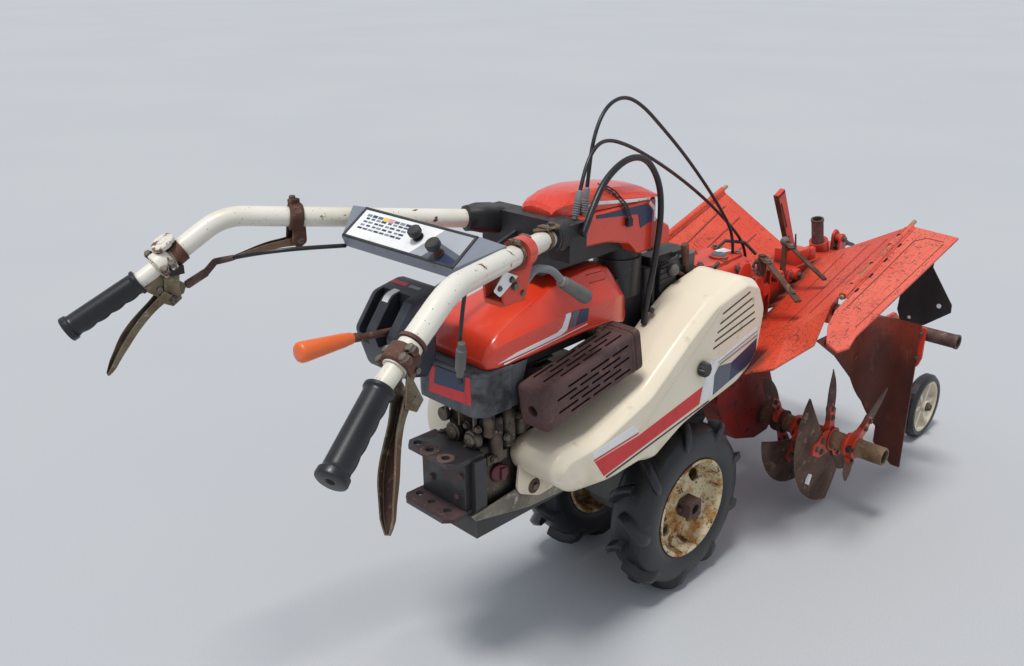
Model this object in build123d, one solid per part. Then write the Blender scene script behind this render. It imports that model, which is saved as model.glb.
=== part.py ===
"""A walk-behind cultivator, its handle turned round over the engine, with a ridging rotor at its back.

X points ahead of the axle, to the engine, Y to the side of the belt cover, and Z up. Lengths are millimetres.
Everything is laid out from a point on the ground under the axle, and then moved so that the middle of the
whole machine's box stands over the origin.
"""
from build123d import *
from math import cos, pi, radians, sqrt, tan
import os

os.makedirs("parts", exist_ok=True)

# Wheels
TYRE_RADIUS = 195
TYRE_WIDTH = 96
HALF_TRACK = 124
BEAD_RADIUS = 104
TYRE_SIDES = 36
LUG_COUNT = 9
LUG_HEIGHT = 22
LUG_THICKNESS = 17
LUG_SWEEP = 34
LUG_PROUD = 2
RIM_WALL = 4
RIM_LIP = 6
HUB_SIDE = 40
SHAFT_RADIUS = 15

# Running clearance between a turning piece and what carries it, and the seat between two fixed pieces
RUNNING = 0.25
SEAT = 0.2

# Transmission, frame and engine
CASE_HALF_WIDTH = 58
CASE_FRONT = 95
CASE_BACK = -150
CASE_BOTTOM = 130
CASE_TOP = 560
FRAME_BOTTOM = 322
FRAME_TOP = 362
FRAME_FRONT = 528
RAIL_OUTER = 72
RAIL_WIDTH = 22
HITCH_REACH = 60
HITCH_HALF_WIDTH = 65
HITCH_PLATE = 8
HITCH_LOW = 370
HITCH_HIGH = 474
HITCH_HOLE_RADIUS = 8
ENGINE_BACK = 175
ENGINE_FRONT = 500
ENGINE_NEAR = 58
ENGINE_FAR = -88
ENGINE_DECK = 545
SHROUD_TOP = 644
COVER_HALF_WIDTH = 92
COVER_CROWN = 54
COVER_FRONT = 508
COVER_BACK = 118
COVER_TOP = 757
COVER_FALL = 7
COVER_CREASE = 692

# Muffler, a slotted box that tilts up towards the back
MUFFLER_FRONT = (434, 122, 562)
MUFFLER_LENGTH = 255
MUFFLER_WIDTH = 62
MUFFLER_HEIGHT = 78
MUFFLER_TILT = 10.5

# Belt cover
BELT_INNER = 60
BELT_OUTER = 182
BELT_SHOULDER = 14
BELT_SLANT = 40
LOUVRE_WIDTH = 5
LOUVRE_DEPTH = 12

# Post and handle
PIVOT_X = 75
POST_TOP = 736
POST_RADIUS = 48
HANDLE_TURN = 2.0
BAR_RADIUS = 16.5
GRIP_RADIUS = 17.5
GRIP_CORE_RADIUS = 12
BAR_ROOT = (332, 80, 846)
BAR_BOOT = (392, 97, 853)
BAR_KNEE = (402.8, 100.1, 854.3)
BAR_BEND = (770, 266, 901)
GRIP_INNER = (912, 293, 818)
GRIP_OUTER = (1018, 333, 757)

# Rotor and its hood
ROTOR_X = -505
ROTOR_Z = 190
ROTOR_TUBE_RADIUS = 22
ROTOR_HALF_LENGTH = 350
ROTOR_SHAFT_RADIUS = 12
LEG_HALF_WIDTH = 26
BLADE_THICKNESS = 6
BLADE_REACH = 187
BEAM_TOP = 568
BEAM_BOTTOM = 500
BEAM_HALF_WIDTH = 38
BEAM_BACK = -800
BEAM_FRONT = -440
HOOD_FRONT = -125
HOOD_BACK = -676
HINGE_Y = 258
HINGE_Z = 695
HOOD_RISE = 0.33
HOOD_FLARE = 0.56
SHEET = 4
WING_WIDTH = 112
HINGE_RADIUS = 5
FLAP_BOTTOM = 470

# Tail
TUBE_X = -832
TUBE_Z = 386
TUBE_RADIUS = 17.5
TUBE_HALF_LENGTH = 355
GAUGE_X = -1045
GAUGE_Y = 210
GAUGE_RADIUS = 92
GAUGE_WIDTH = 34
GAUGE_RIM_RADIUS = 74
GAUGE_AXLE_RADIUS = 8
SPOKE_COUNT = 6


def box(x, y, z):
    """A block between two X values, two Y values and two Z values."""
    block = Box(x[1] - x[0], y[1] - y[0], z[1] - z[0])
    return Pos((x[0] + x[1]) / 2, (y[0] + y[1]) / 2, (z[0] + z[1]) / 2) * block


def rod(start, end, radius):
    """A round bar from one point to another."""
    line = Vector(*end) - Vector(*start)
    bar = Cylinder(radius, line.length, align=(Align.CENTER, Align.CENTER, Align.MIN))
    return Plane(origin=start, z_dir=line) * bar


def prism(outline, depth):
    """An outline in X and Y, made solid upwards."""
    return extrude(make_face(Polyline(*outline, close=True)), amount=depth, dir=(0, 0, 1))


def side_plate(outline, y):
    """An outline in X and Z, solid between two Y values."""
    plane = Plane(origin=(0, y[1], 0), x_dir=(1, 0, 0), z_dir=(0, -1, 0))
    return plane * prism(outline, y[1] - y[0])


def plan_plate(outline, z):
    """An outline in X and Y, solid between two Z values."""
    return Pos(0, 0, z[0]) * prism(outline, z[1] - z[0])


def front_plate(outline, x):
    """An outline in Y and Z, solid between two X values."""
    plane = Plane(origin=(x[0], 0, 0), x_dir=(0, 1, 0), z_dir=(1, 0, 0))
    return plane * prism(outline, x[1] - x[0])


def bent_tube(points, radii, radius):
    """A round tube along straight runs, joined by arcs of the given radii."""
    path = FilletPolyline(*points, radius=radii) if len(points) > 2 else Line(*points)
    return sweep(Plane(origin=path @ 0, z_dir=path % 0) * Circle(radius), path=path)


def across(point):
    """The same point on the other side of the machine."""
    return (point[0], -point[1], point[2])


def flipped(solid):
    """The same piece on the other side of the machine."""
    return mirror(solid, about=Plane.XZ)


def along(start, end, share):
    """A point part of the way from one point to another."""
    return tuple(a + (b - a) * share for a, b in zip(start, end))


# Wheels, drawn about Y with the middle at the origin and the outer face towards +Y
def flat_ring(bands, bore, sides):
    """A ring with flats, through bands of (place along Y, radius), round a bore with as many flats."""
    def section(y, radius):
        return Plane(origin=(0, y, 0), x_dir=(1, 0, 0), z_dir=(0, 1, 0)) * RegularPolygon(radius, sides)

    solid = loft([section(y, radius) for y, radius in bands], ruled=True)
    return solid - extrude(section(bands[0][0] - 5, bore / cos(pi / sides)), amount=bands[-1][0] - bands[0][0] + 10)


def tyre_body():
    """The tyre without its lugs, with a step in each side for the rim's lip."""
    half = TYRE_WIDTH / 2 - LUG_PROUD
    tread = TYRE_RADIUS - LUG_HEIGHT
    bands = [(half, tread - 31), (half - 3, tread - 13), (half - 13, tread)]
    solid = flat_ring([(-y, r) for y, r in bands] + bands[::-1], BEAD_RADIUS + SEAT, TYRE_SIDES)
    for side in (-1, 1):
        plane = Plane(origin=(0, side * RIM_HALF, 0), x_dir=(1, 0, 0), z_dir=(0, side, 0))
        solid -= extrude(plane * RegularPolygon(BEAD_RADIUS + RIM_LIP + 3, TYRE_SIDES), amount=20)
    return solid


def lug(side):
    """A cleat that bends from the tread's middle out over the shoulder."""
    half = LUG_THICKNESS / 2
    edge = TYRE_WIDTH / 2
    kink = LUG_SWEEP * 0.35
    plan = [
        (-half, -side * 4), (half, -side * 4), (half + kink, side * edge / 2), (half + LUG_SWEEP, side * edge),
        (-half + LUG_SWEEP, side * edge), (-half + kink, side * edge / 2),
    ]
    top = sqrt(TYRE_RADIUS ** 2 - half ** 2)
    profile = [
        (-4, top - 45), (-4, top), (20, top - 1), (edge - 10, top - 6), (edge - 2, top - 19), (edge, top - 35),
        (edge, top - 55), (edge - 8, top - 59), (edge - 14, top - 45),
    ]
    upright = front_plate([(side * y, z) for y, z in profile], (-2 * LUG_SWEEP, 2 * LUG_SWEEP))
    return plan_plate(plan, (TYRE_RADIUS - 70, TYRE_RADIUS)) & upright


def tyre():
    step = 360 / LUG_COUNT
    lugs = []
    for number in range(LUG_COUNT):
        for side, shift in ((1, 0), (-1, step / 2)):
            lugs.append(Rot(0, number * step + shift, 0) * lug(side))
    return tyre_body() + lugs


RIM_HALF = TYRE_WIDTH / 2 - 8
WEB_Y = 6
BOSS_RADIUS = 34
WINDOW_CIRCLE = 64
WINDOW_RADIUS = 17


def rim():
    """A dished wheel: a barrel with two lips, a web with windows and a boss."""
    lip = RIM_HALF + SEAT
    inside = BEAD_RADIUS - RIM_WALL
    front, back = WEB_Y + RIM_WALL, WEB_Y
    bore = SHAFT_RADIUS + SEAT
    outline = [
        (BEAD_RADIUS, -lip), (BEAD_RADIUS, lip), (BEAD_RADIUS + RIM_LIP, lip), (BEAD_RADIUS + RIM_LIP, lip + RIM_LIP),
        (inside + 3, lip + RIM_LIP), (inside, lip - 3), (inside - 2, front + 12), (inside - 14, front),
        (BOSS_RADIUS + 14, front), (BOSS_RADIUS, WEB_Y + 14), (bore, WEB_Y + 14), (bore, WEB_Y - 16),
        (BOSS_RADIUS, WEB_Y - 16), (BOSS_RADIUS + 14, back), (inside - 8, back), (inside, back - 8),
        (inside, 3 - lip), (inside + 3, -lip - RIM_LIP), (BEAD_RADIUS + RIM_LIP, -lip - RIM_LIP),
        (BEAD_RADIUS + RIM_LIP, -lip),
    ]
    solid = revolve(make_face(Polyline(*outline, close=True)), axis=Axis.Y)
    for number in range(4):
        hole = rod((WINDOW_CIRCLE, -10, 0), (WINDOW_CIRCLE, 30, 0), WINDOW_RADIUS)
        solid -= Rot(0, 45 + 90 * number, 0) * hole
    return solid


def hub():
    """The square hub outside the wheel's boss, and the shaft through it into the transmission."""
    start = WEB_Y + 14 + SEAT
    block = box((-HUB_SIDE / 2, HUB_SIDE / 2), (start, RIM_HALF + 12), (-HUB_SIDE / 2, HUB_SIDE / 2))
    block = chamfer(block.edges().filter_by(Axis.Y), 4)
    block -= rod((0, start + 14, 0), (0, RIM_HALF + 20, 0), 12)
    pin = rod((-HUB_SIDE / 2 - 9, start + 9, 0), (HUB_SIDE / 2 + 9, start + 9, 0), 5)
    shaft = rod((0, CASE_HALF_WIDTH - 14 - HALF_TRACK, 0), (0, start + 1, 0), SHAFT_RADIUS)
    return block + shaft + pin


def on_axle(solid, side):
    """A piece of a wheel set at its place on the axle."""
    facing = solid if side > 0 else flipped(solid)
    return Pos(0, side * HALF_TRACK, TYRE_RADIUS) * facing


# Transmission and frame
def transmission():
    case = box((CASE_BACK, CASE_FRONT), (-CASE_HALF_WIDTH, CASE_HALF_WIDTH), (CASE_BOTTOM + 60, CASE_TOP))
    case = fillet(case.edges().filter_by(Axis.Z), 16)
    case += rod((0, -CASE_HALF_WIDTH, TYRE_RADIUS), (0, CASE_HALF_WIDTH, TYRE_RADIUS), TYRE_RADIUS - CASE_BOTTOM + 10)
    for side in (-1, 1):
        start = (0, side * CASE_HALF_WIDTH, TYRE_RADIUS)
        case += rod(start, (0, side * (CASE_HALF_WIDTH + 14), TYRE_RADIUS), 40)
        case -= rod((0, side * (CASE_HALF_WIDTH - 15), TYRE_RADIUS), (0, side * 90, TYRE_RADIUS), SHAFT_RADIUS + RUNNING)
    return case


def engine_frame():
    frame = Part()
    for side in (-1, 1):
        rail = (side * RAIL_OUTER, side * (RAIL_OUTER - RAIL_WIDTH))
        frame += box((CASE_FRONT, FRAME_FRONT), (min(rail), max(rail)), (FRAME_BOTTOM, FRAME_TOP))
    frame += box((CASE_FRONT, CASE_FRONT + 12), (-RAIL_OUTER, RAIL_OUTER), (FRAME_BOTTOM - 30, FRAME_TOP))
    frame += box((FRAME_FRONT - 26, FRAME_FRONT), (-RAIL_OUTER, RAIL_OUTER), (FRAME_BOTTOM, HITCH_HIGH))
    bed = box((ENGINE_BACK, ENGINE_FRONT), (-RAIL_OUTER, RAIL_OUTER), (FRAME_TOP - 6, FRAME_TOP))
    return frame + bed


HITCH_HOLES = ((30, -46), (34, -8), (34, 34))


def hitch():
    """Two ears with pin holes on a block ahead of the frame."""
    front = FRAME_FRONT + HITCH_REACH
    wide = HITCH_HALF_WIDTH
    low = plan_plate(
        [(FRAME_FRONT, -wide), (front - 18, -wide), (front, -wide + 16), (front, wide - 16),
         (front - 18, wide), (FRAME_FRONT, wide)],
        (HITCH_LOW, HITCH_LOW + HITCH_PLATE),
    )
    high = plan_plate(
        [(FRAME_FRONT - 26, -wide), (front - 26, -wide), (front - 12, -wide + 14), (front - 12, wide - 14),
         (front - 26, wide), (FRAME_FRONT - 26, wide)],
        (HITCH_HIGH, HITCH_HIGH + HITCH_PLATE),
    )
    block = box((FRAME_FRONT, FRAME_FRONT + 14), (-wide + 10, wide - 6), (HITCH_LOW, HITCH_HIGH + HITCH_PLATE))
    solid = low + high + block
    for ahead, across_y in HITCH_HOLES:
        spot = (FRAME_FRONT + ahead, across_y)
        solid -= rod((*spot, HITCH_LOW - 20), (*spot, HITCH_HIGH + 30), HITCH_HOLE_RADIUS)
    return solid


def belt_stay():
    """The pale strut from the frame's front corner back along the belt cover's foot."""
    outline = [(540, 372), (532, 362), (400, 334), (180, 322), (180, 344), (300, 356), (420, 386)]
    return side_plate(outline, (RAIL_OUTER, RAIL_OUTER + 4))


# Engine
# Round castings that stand out of the engine's front: inner end, outer end and radius
ENGINE_BOSSES = (
    ((440, -8, 512), (490, -8, 512), 30), ((470, 30, 502), (508, 36, 498), 13), ((440, 42, 524), (482, 46, 522), 12),
    ((400, 30, 505), (404, 66, 505), 18),
)


def crankcase():
    block = box((ENGINE_BACK, ENGINE_FRONT), (ENGINE_FAR + 30, ENGINE_NEAR), (FRAME_TOP, 486))
    block = fillet(block.edges().filter_by(Axis.X), 14)
    block += box((ENGINE_BACK + 20, ENGINE_FRONT - 34), (ENGINE_FAR + 30, ENGINE_NEAR - 4), (486, 560))
    block += box((330, 440), (-30, ENGINE_NEAR - 10), (559, 632))
    for number in range(5):
        height = 566 + number * 13
        block += box((318, 452), (-36, ENGINE_NEAR - 2), (height, height + 4))
    for start, end, radius in ENGINE_BOSSES:
        block += rod(start, end, radius)
    return block


def front_shroud():
    """The dark air shroud under the red cover's front."""
    outer = plan_plate(
        [(ENGINE_FRONT - 44, -86), (ENGINE_FRONT + 20, -80), (ENGINE_FRONT + 32, -60), (ENGINE_FRONT + 32, 66),
         (ENGINE_FRONT + 18, 86), (ENGINE_FRONT - 44, 90)],
        (ENGINE_DECK, SHROUD_TOP),
    )
    inner = box((ENGINE_FRONT - 80, ENGINE_FRONT + 12), (-70, 74), (ENGINE_DECK - 5, SHROUD_TOP + 5))
    lip = box((ENGINE_FRONT - 34 + SEAT, ENGINE_FRONT + 14), (-78, 80), (ENGINE_DECK, ENGINE_DECK + 4))
    return outer - inner + lip


# Slots in the engine cover's top: their places to each side, and the stretch along X
VENTS = (8, 17, 26, 40, 49, 58, 67)
VENT_STRETCH = (192, 236)
VENT_WIDTH = 2.5
VENT_DEPTH = 3


def cover_height(y):
    """The height of the engine cover's highest cross-section at a place to its side."""
    if y < COVER_CROWN:
        return COVER_TOP - COVER_FALL * y / COVER_CROWN
    share = (y - COVER_CROWN) / (COVER_HALF_WIDTH - COVER_CROWN)
    return COVER_TOP - COVER_FALL - share * (COVER_TOP - COVER_FALL - COVER_CREASE)


def engine_cover():
    """The red cover: a plan outline that narrows upwards, cut to its shapes from the side and the front."""
    plan = [
        (COVER_FRONT, -72), (COVER_FRONT, 70), (COVER_FRONT - 26, COVER_HALF_WIDTH - 4),
        (COVER_BACK + 40, COVER_HALF_WIDTH), (COVER_BACK, 60), (COVER_BACK, -60),
        (COVER_BACK + 40, -COVER_HALF_WIDTH), (COVER_FRONT - 26, -COVER_HALF_WIDTH + 4),
    ]
    base = Pos(0, 0, SHROUD_TOP - 14) * make_face(Polyline(*plan, close=True))
    body = extrude(base, amount=COVER_TOP - SHROUD_TOP + 28, dir=(0, 0, 1), taper=4)
    side = [
        (COVER_FRONT + 10, SHROUD_TOP + SEAT), (COVER_FRONT + 10, 660), (430, 718), (330, 746), (215, COVER_TOP),
        (COVER_BACK + 42, COVER_TOP - 14), (COVER_BACK + 16, COVER_TOP - 50), (COVER_BACK, COVER_TOP - 90),
        (COVER_BACK + 4, 640), (COVER_BACK + 32, 632), (172, 650), (230, 652),
    ]
    body = body & side_plate(side, (-COVER_HALF_WIDTH - 10, COVER_HALF_WIDTH + 10))
    half = [(COVER_HALF_WIDTH + 10, 600)] + [(y, cover_height(y)) for y in (COVER_HALF_WIDTH, COVER_CROWN)]
    front = half + [(0, COVER_TOP)] + [(-y, z) for y, z in reversed(half)]
    body = body & front_plate(front, (COVER_BACK - 10, COVER_FRONT + 20))
    for y in VENTS:
        floor = cover_height(y) - VENT_DEPTH
        vent = box(VENT_STRETCH, (y - VENT_WIDTH / 2, y + VENT_WIDTH / 2), (floor, COVER_TOP + 5))
        body -= [vent, flipped(vent)]
    return body - rod((PIVOT_X, 0, 600), (PIVOT_X, 0, 800), POST_RADIUS + 8)


def fan_cover():
    """The pale starter housing on the far side."""
    far = ENGINE_FAR - 52
    solid = rod((360, ENGINE_FAR + 30, 478), (360, far + 18, 478), 112)
    solid += rod((360, far + 18, 478), (360, far, 478), 92)
    return solid


# Slots in the muffler: length, gap to the next in the row, width, depth, the
# number of rows, their pitch, and the plain margin at each end
SLOT_LENGTH = 50
SLOT_GAP = 9
SLOT_WIDTH = 4
SLOT_DEPTH = 3
SLOT_ROWS = 5
SLOT_PITCH = 9.5
SLOT_MARGIN = 30


def slot_row(row):
    """The stretches of one row of slots, every other row shifted by half a slot."""
    start = -SLOT_MARGIN - (row % 2) * (SLOT_LENGTH + SLOT_GAP) / 2
    while start > SLOT_MARGIN + 10 - MUFFLER_LENGTH:
        yield max(start - SLOT_LENGTH, SLOT_MARGIN - MUFFLER_LENGTH), start
        start -= SLOT_LENGTH + SLOT_GAP


def muffler():
    half, tall = MUFFLER_WIDTH / 2, MUFFLER_HEIGHT / 2
    body = box((-MUFFLER_LENGTH, 0), (-half, half), (-tall, tall))
    body = fillet(body.edges().filter_by(Axis.X), 10)
    body = chamfer(body.faces().sort_by(Axis.X)[-1].edges(), 3)
    cuts = [rod((-20, 2, 6), (5, 2, 6), 9)]
    for row in range(SLOT_ROWS):
        for stretch in slot_row(row):
            middle = (row - 2) * SLOT_PITCH
            width = (middle - SLOT_WIDTH / 2, middle + SLOT_WIDTH / 2)
            cuts.append(box(stretch, width, (tall - SLOT_DEPTH, tall + 5)))
            cuts.append(box(stretch, (half - SLOT_DEPTH, half + 5), width))
    body = Pos(*MUFFLER_FRONT) * Rot(0, MUFFLER_TILT, 0) * (body - cuts)
    return body + rod((380, ENGINE_NEAR - 2 + SEAT, 590), (380, MUFFLER_FRONT[1], 590), 14)


BELT_OUTLINE = [
    (350, 388), (297, 380), (200, 384), (162, 372), (73, 412), (16, 424), (-110, 445), (-159, 468), (-192, 504),
    (-206, 600), (-176, 662), (-120, 682), (-10, 660), (63, 618), (186, 532), (330, 486), (410, 484), (438, 462),
    (428, 428), (388, 394),
]


# Slots in the belt cover's side: X and Z of the rear end, X and Z of the front end
LOUVRES = (
    (-131, 650, -35, 627), (-141, 634, -28, 608), (-149, 618, -21, 591), (-154, 601, -14, 575), (-158, 586, -10, 560),
)


def louvre(x0, z0, x1, z1):
    """A narrow slot in the belt cover's side face."""
    ahead = Vector(x1 - x0, 0, z1 - z0).normalized()
    off = Vector(-ahead.Z, 0, ahead.X) * LOUVRE_WIDTH / 2
    outline = [
        (x0 + off.X, z0 + off.Z), (x1 + off.X, z1 + off.Z), (x1 - off.X, z1 - off.Z), (x0 - off.X, z0 - off.Z),
    ]
    return side_plate(outline, (BELT_OUTER - LOUVRE_DEPTH, BELT_OUTER + 5))


def belt_cover():
    """The pale cover over the belt, with a slanted shoulder round its outer face."""
    solid = side_plate(BELT_OUTLINE, (BELT_INNER, BELT_OUTER - BELT_SHOULDER))
    plane = Plane(origin=(0, BELT_OUTER - BELT_SHOULDER, 0), x_dir=(-1, 0, 0), z_dir=(0, 1, 0))
    face = plane * make_face(Polyline(*[(-x, z) for x, z in BELT_OUTLINE], close=True))
    solid += extrude(face, amount=BELT_SHOULDER, taper=BELT_SLANT)
    tab = side_plate([(420, 470), (388, 360), (372, 372), (380, 470)], (RAIL_OUTER + 4 + SEAT, RAIL_OUTER + 10))
    return solid - [louvre(*row) for row in LOUVRES] + tab


def belt_knob():
    return rod((26, BELT_OUTER, 530), (26, BELT_OUTER + 16, 530), 16)


# Post under the handle
def post():
    column = box((PIVOT_X - 40, PIVOT_X + 42), (-34, 34), (CASE_TOP, 700))
    column += rod((PIVOT_X, 0, 660), (PIVOT_X, 0, POST_TOP), POST_RADIUS)
    return column


def post_panels():
    """Grey boxes beside and behind the post, over the transmission."""
    back = box((CASE_BACK + 20, PIVOT_X - 40 - SEAT), (-46, 46), (CASE_TOP, 706))
    back = fillet(back.edges().filter_by(Axis.Z), 8)
    return back - rod((PIVOT_X, 0, 500), (PIVOT_X, 0, 800), POST_RADIUS + SEAT)


def gear_lever():
    """The brown lever with a grey ball, beside the post."""
    stem = rod((-88, 53, 664), (-70, 57, 738), 5)
    foot = box((-100, -70), (46 + SEAT, 59), (650, 672))
    ball = Pos(-30, 59, 699) * Sphere(12)
    neck = rod((-76, 53, 668), (-36, 58, 694), 4)
    return stem + foot + ball + neck


# Rotor drive and hood
def drive_case():
    """The red gear case behind the transmission."""
    front = box((-330, CASE_BACK), (-CASE_HALF_WIDTH, CASE_HALF_WIDTH), (430, 655))
    front = fillet(front.edges().filter_by(Axis.X), 14)
    back = box((-442, -330), (-48, 48), (470, 606))
    cap = rod((-232, 26, 655), (-232, 26, 664), 15)
    return front + back + cap


def rotor_leg():
    """The dark red case that carries the drive down to the rotor."""
    outline = [
        (-330, 470 - SEAT), (-330, 430 - SEAT), (-290, 430 - SEAT), (-286, 290), (-330, 215), (-380, 165), (-470, 135), (-530, 138),
        (-560, 170), (-560, 215), (-520, 300), (-480, 420), (-470, BEAM_BOTTOM - SEAT), (-442, 470 - SEAT),
    ]
    leg = side_plate(outline, (-LEG_HALF_WIDTH, LEG_HALF_WIDTH))
    bore = rod((ROTOR_X, -60, ROTOR_Z), (ROTOR_X, 60, ROTOR_Z), ROTOR_SHAFT_RADIUS + RUNNING)
    return leg - bore


def beam():
    """The red beam over the rotor, with the sockets for the upright bar and the depth tube."""
    length = (BEAM_BACK, BEAM_FRONT - SEAT - 2)
    solid = box(length, (-BEAM_HALF_WIDTH, BEAM_HALF_WIDTH), (BEAM_BOTTOM, BEAM_TOP))
    solid += box((-640, -580), (-30, 30), (BEAM_TOP, BEAM_TOP + 34))
    solid += rod((-755, 0, BEAM_TOP - 10), (-742, 0, BEAM_TOP + 26), 24)
    solid += upright_bar()
    solid -= rod(TUBE_FOOT, tuple(Vector(*TUBE_FOOT) + TUBE_LINE * 60), 15 + SEAT)
    solid += box((BEAM_BACK - 42, BEAM_BACK), (-26, 26), (TUBE_Z - 30, BEAM_TOP))
    clearance = rod((TUBE_X, -60, TUBE_Z), (TUBE_X, 60, TUBE_Z), TUBE_RADIUS + SEAT)
    return solid - clearance


TUBE_FOOT = (-742, 0, BEAM_TOP + 5)
TUBE_LINE = Vector(13, 0, 56).normalized()


def upright_bar():
    """The flat red bar that stands on the beam."""
    outline = [(-622, BEAM_TOP + 20), (-596, BEAM_TOP + 20), (-510, 752), (-536, 764)]
    return side_plate(outline, (-6, 6))


def depth_tube():
    start = Vector(*TUBE_FOOT)
    solid = rod(tuple(start + TUBE_LINE * SEAT), tuple(start + TUBE_LINE * 84), 15)
    return solid - rod(tuple(start + TUBE_LINE * 30), tuple(start + TUBE_LINE * 90), 12)


def hood_height(x, y):
    """The height of the hood's sheet, which rises to the back and to both sides."""
    return HINGE_Z + HOOD_RISE * (HOOD_BACK - x) - HOOD_FLARE * (HINGE_Y - y)


def sheet(points):
    """A flat sheet through the given points, thickened downwards."""
    return extrude(Face(Wire.make_polygon([Vector(*p) for p in points])), amount=SHEET, dir=(0, 0, -1))


HOOD_INNER = CASE_HALF_WIDTH + 4
CREASE_Y = 212
HOOD_NEAR = -214
HINGE_GAP = 11
HINGE_FRONT = -372
KNUCKLE_RADIUS = 8
# Stretches of the hinge line, as shares of its length: those of the hood and those of a wing plate
HOOD_KNUCKLES = ((0.02, 0.14), (0.44, 0.54), (0.84, 0.94))
WING_KNUCKLES = ((0.16, 0.26), (0.70, 0.80))


def hinge_point(x):
    return (x, HINGE_Y, hood_height(x, HINGE_Y))


def hinge_rod(front=HINGE_FRONT, back=HOOD_BACK - 20):
    return rod(hinge_point(front), hinge_point(back), HINGE_RADIUS)


def knuckles(stretches):
    front, back = hinge_point(HINGE_FRONT), hinge_point(HOOD_BACK)
    solid = Part()
    for first, last in stretches:
        solid += rod(along(front, back, first), along(front, back, last), KNUCKLE_RADIUS)
    return solid


def hood_half():
    """One side of the hood: a sheet from the beam out to the hinge, with a skirt at its front."""
    edge = HINGE_Y - HINGE_GAP
    corners = [
        (HOOD_NEAR, HOOD_INNER), (HOOD_NEAR, 188), (HOOD_FRONT, 188), (HOOD_FRONT, CREASE_Y), (-235, CREASE_Y), (-354, edge),
        (HOOD_BACK, edge), (HOOD_BACK, BEAM_HALF_WIDTH + 0.4), (BEAM_FRONT - 6, BEAM_HALF_WIDTH + 0.4),
        (BEAM_FRONT - 6, HOOD_INNER),
    ]
    main = sheet([(x, y, hood_height(x, y)) for x, y in corners])
    front = (HOOD_FRONT, CREASE_Y, hood_height(HOOD_FRONT, CREASE_Y))
    crease = (-235, CREASE_Y, hood_height(-235, CREASE_Y))
    back = (-354, edge, hood_height(-354, edge))
    skirt_front = (HOOD_FRONT, HINGE_Y - 6, 503)
    skirt_back = (-290, HINGE_Y - 6, 509)
    main += sheet([front, crease, skirt_front])
    main += sheet([crease, back, skirt_back])
    main += sheet([crease, skirt_back, skirt_front])
    tabs = Part()
    for first, last in HOOD_KNUCKLES:
        ends = [along(hinge_point(HINGE_FRONT), hinge_point(HOOD_BACK), share) for share in (first, last)]
        tabs += sheet([
            (ends[0][0], HINGE_Y, ends[0][2] + 2), (ends[1][0], HINGE_Y, ends[1][2] + 2),
            (ends[1][0], edge - 8, hood_height(ends[1][0], edge - 8)),
            (ends[0][0], edge - 8, hood_height(ends[0][0], edge - 8)),
        ])
    bore = rod(hinge_point(HINGE_FRONT + 60), hinge_point(HOOD_BACK - 60), HINGE_RADIUS + SEAT)
    return main + tabs + knuckles(HOOD_KNUCKLES) - bore


BRACKET_PLACES = (-640, -500)
BRACKET_THICKNESS = 6
BRACKET_REACH = 150


def hood_brackets():
    """The struts that carry the hood's two halves beside the beam."""
    root = BEAM_HALF_WIDTH + SEAT
    solid = Part()
    for x in BRACKET_PLACES:
        front = x + BRACKET_THICKNESS
        top = hood_height(front, BRACKET_REACH) - SHEET - 1
        near = hood_height(front, root) - SHEET - 1
        outline = [(root, near - 24), (BRACKET_REACH, top - 14), (BRACKET_REACH, top), (root, near - 3)]
        strut = front_plate(outline, (x, front))
        solid += strut + flipped(strut)
    return solid


WING_OUTLINE = [
    (-676, HINGE_GAP), (-676, WING_WIDTH), (-277, 88), (-240, 94), (-218, 80), (-232, 48), (-277, 24),
    (-329, HINGE_GAP),
]


def wing_plate():
    """The hinged plate beside the hood, laid out level across from its hinge."""
    def lift(x, out):
        return (x, HINGE_Y + out, hood_height(x, HINGE_Y) - 0.06 * out)

    solid = sheet([lift(x, out) for x, out in WING_OUTLINE])
    for first, last in WING_KNUCKLES:
        ends = [along(hinge_point(HINGE_FRONT), hinge_point(HOOD_BACK), share) for share in (first, last)]
        solid += sheet([lift(ends[0][0], 0), lift(ends[1][0], 0), lift(ends[1][0], 18), lift(ends[0][0], 18)])
    return solid + knuckles(WING_KNUCKLES) - rod(
        hinge_point(HINGE_FRONT + 60), hinge_point(HOOD_BACK - 60), HINGE_RADIUS + RUNNING
    )


FOLD = 78


def folded(solid):
    """A left wing plate turned down about its hinge line."""
    start = Vector(*hinge_point(HINGE_FRONT))
    line = Vector(*hinge_point(HOOD_BACK)) - start
    return solid.rotate(Axis(start, line), -FOLD if line.X > 0 else FOLD)


def wing_flap():
    """The dark flap that hangs from the wing plate's back end."""
    top = hood_height(-668, HINGE_Y) - SHEET
    outline = [
        (HINGE_Y + 12, top - 1.8), (HINGE_Y + 2, FLAP_BOTTOM + 24), (HINGE_Y + 12, FLAP_BOTTOM), (328, FLAP_BOTTOM),
        (384, FLAP_BOTTOM + 45), (383, FLAP_BOTTOM + 64), (328, FLAP_BOTTOM + 142), (330, top - 8),
    ]
    return front_plate(outline, (-668, -665))


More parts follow.
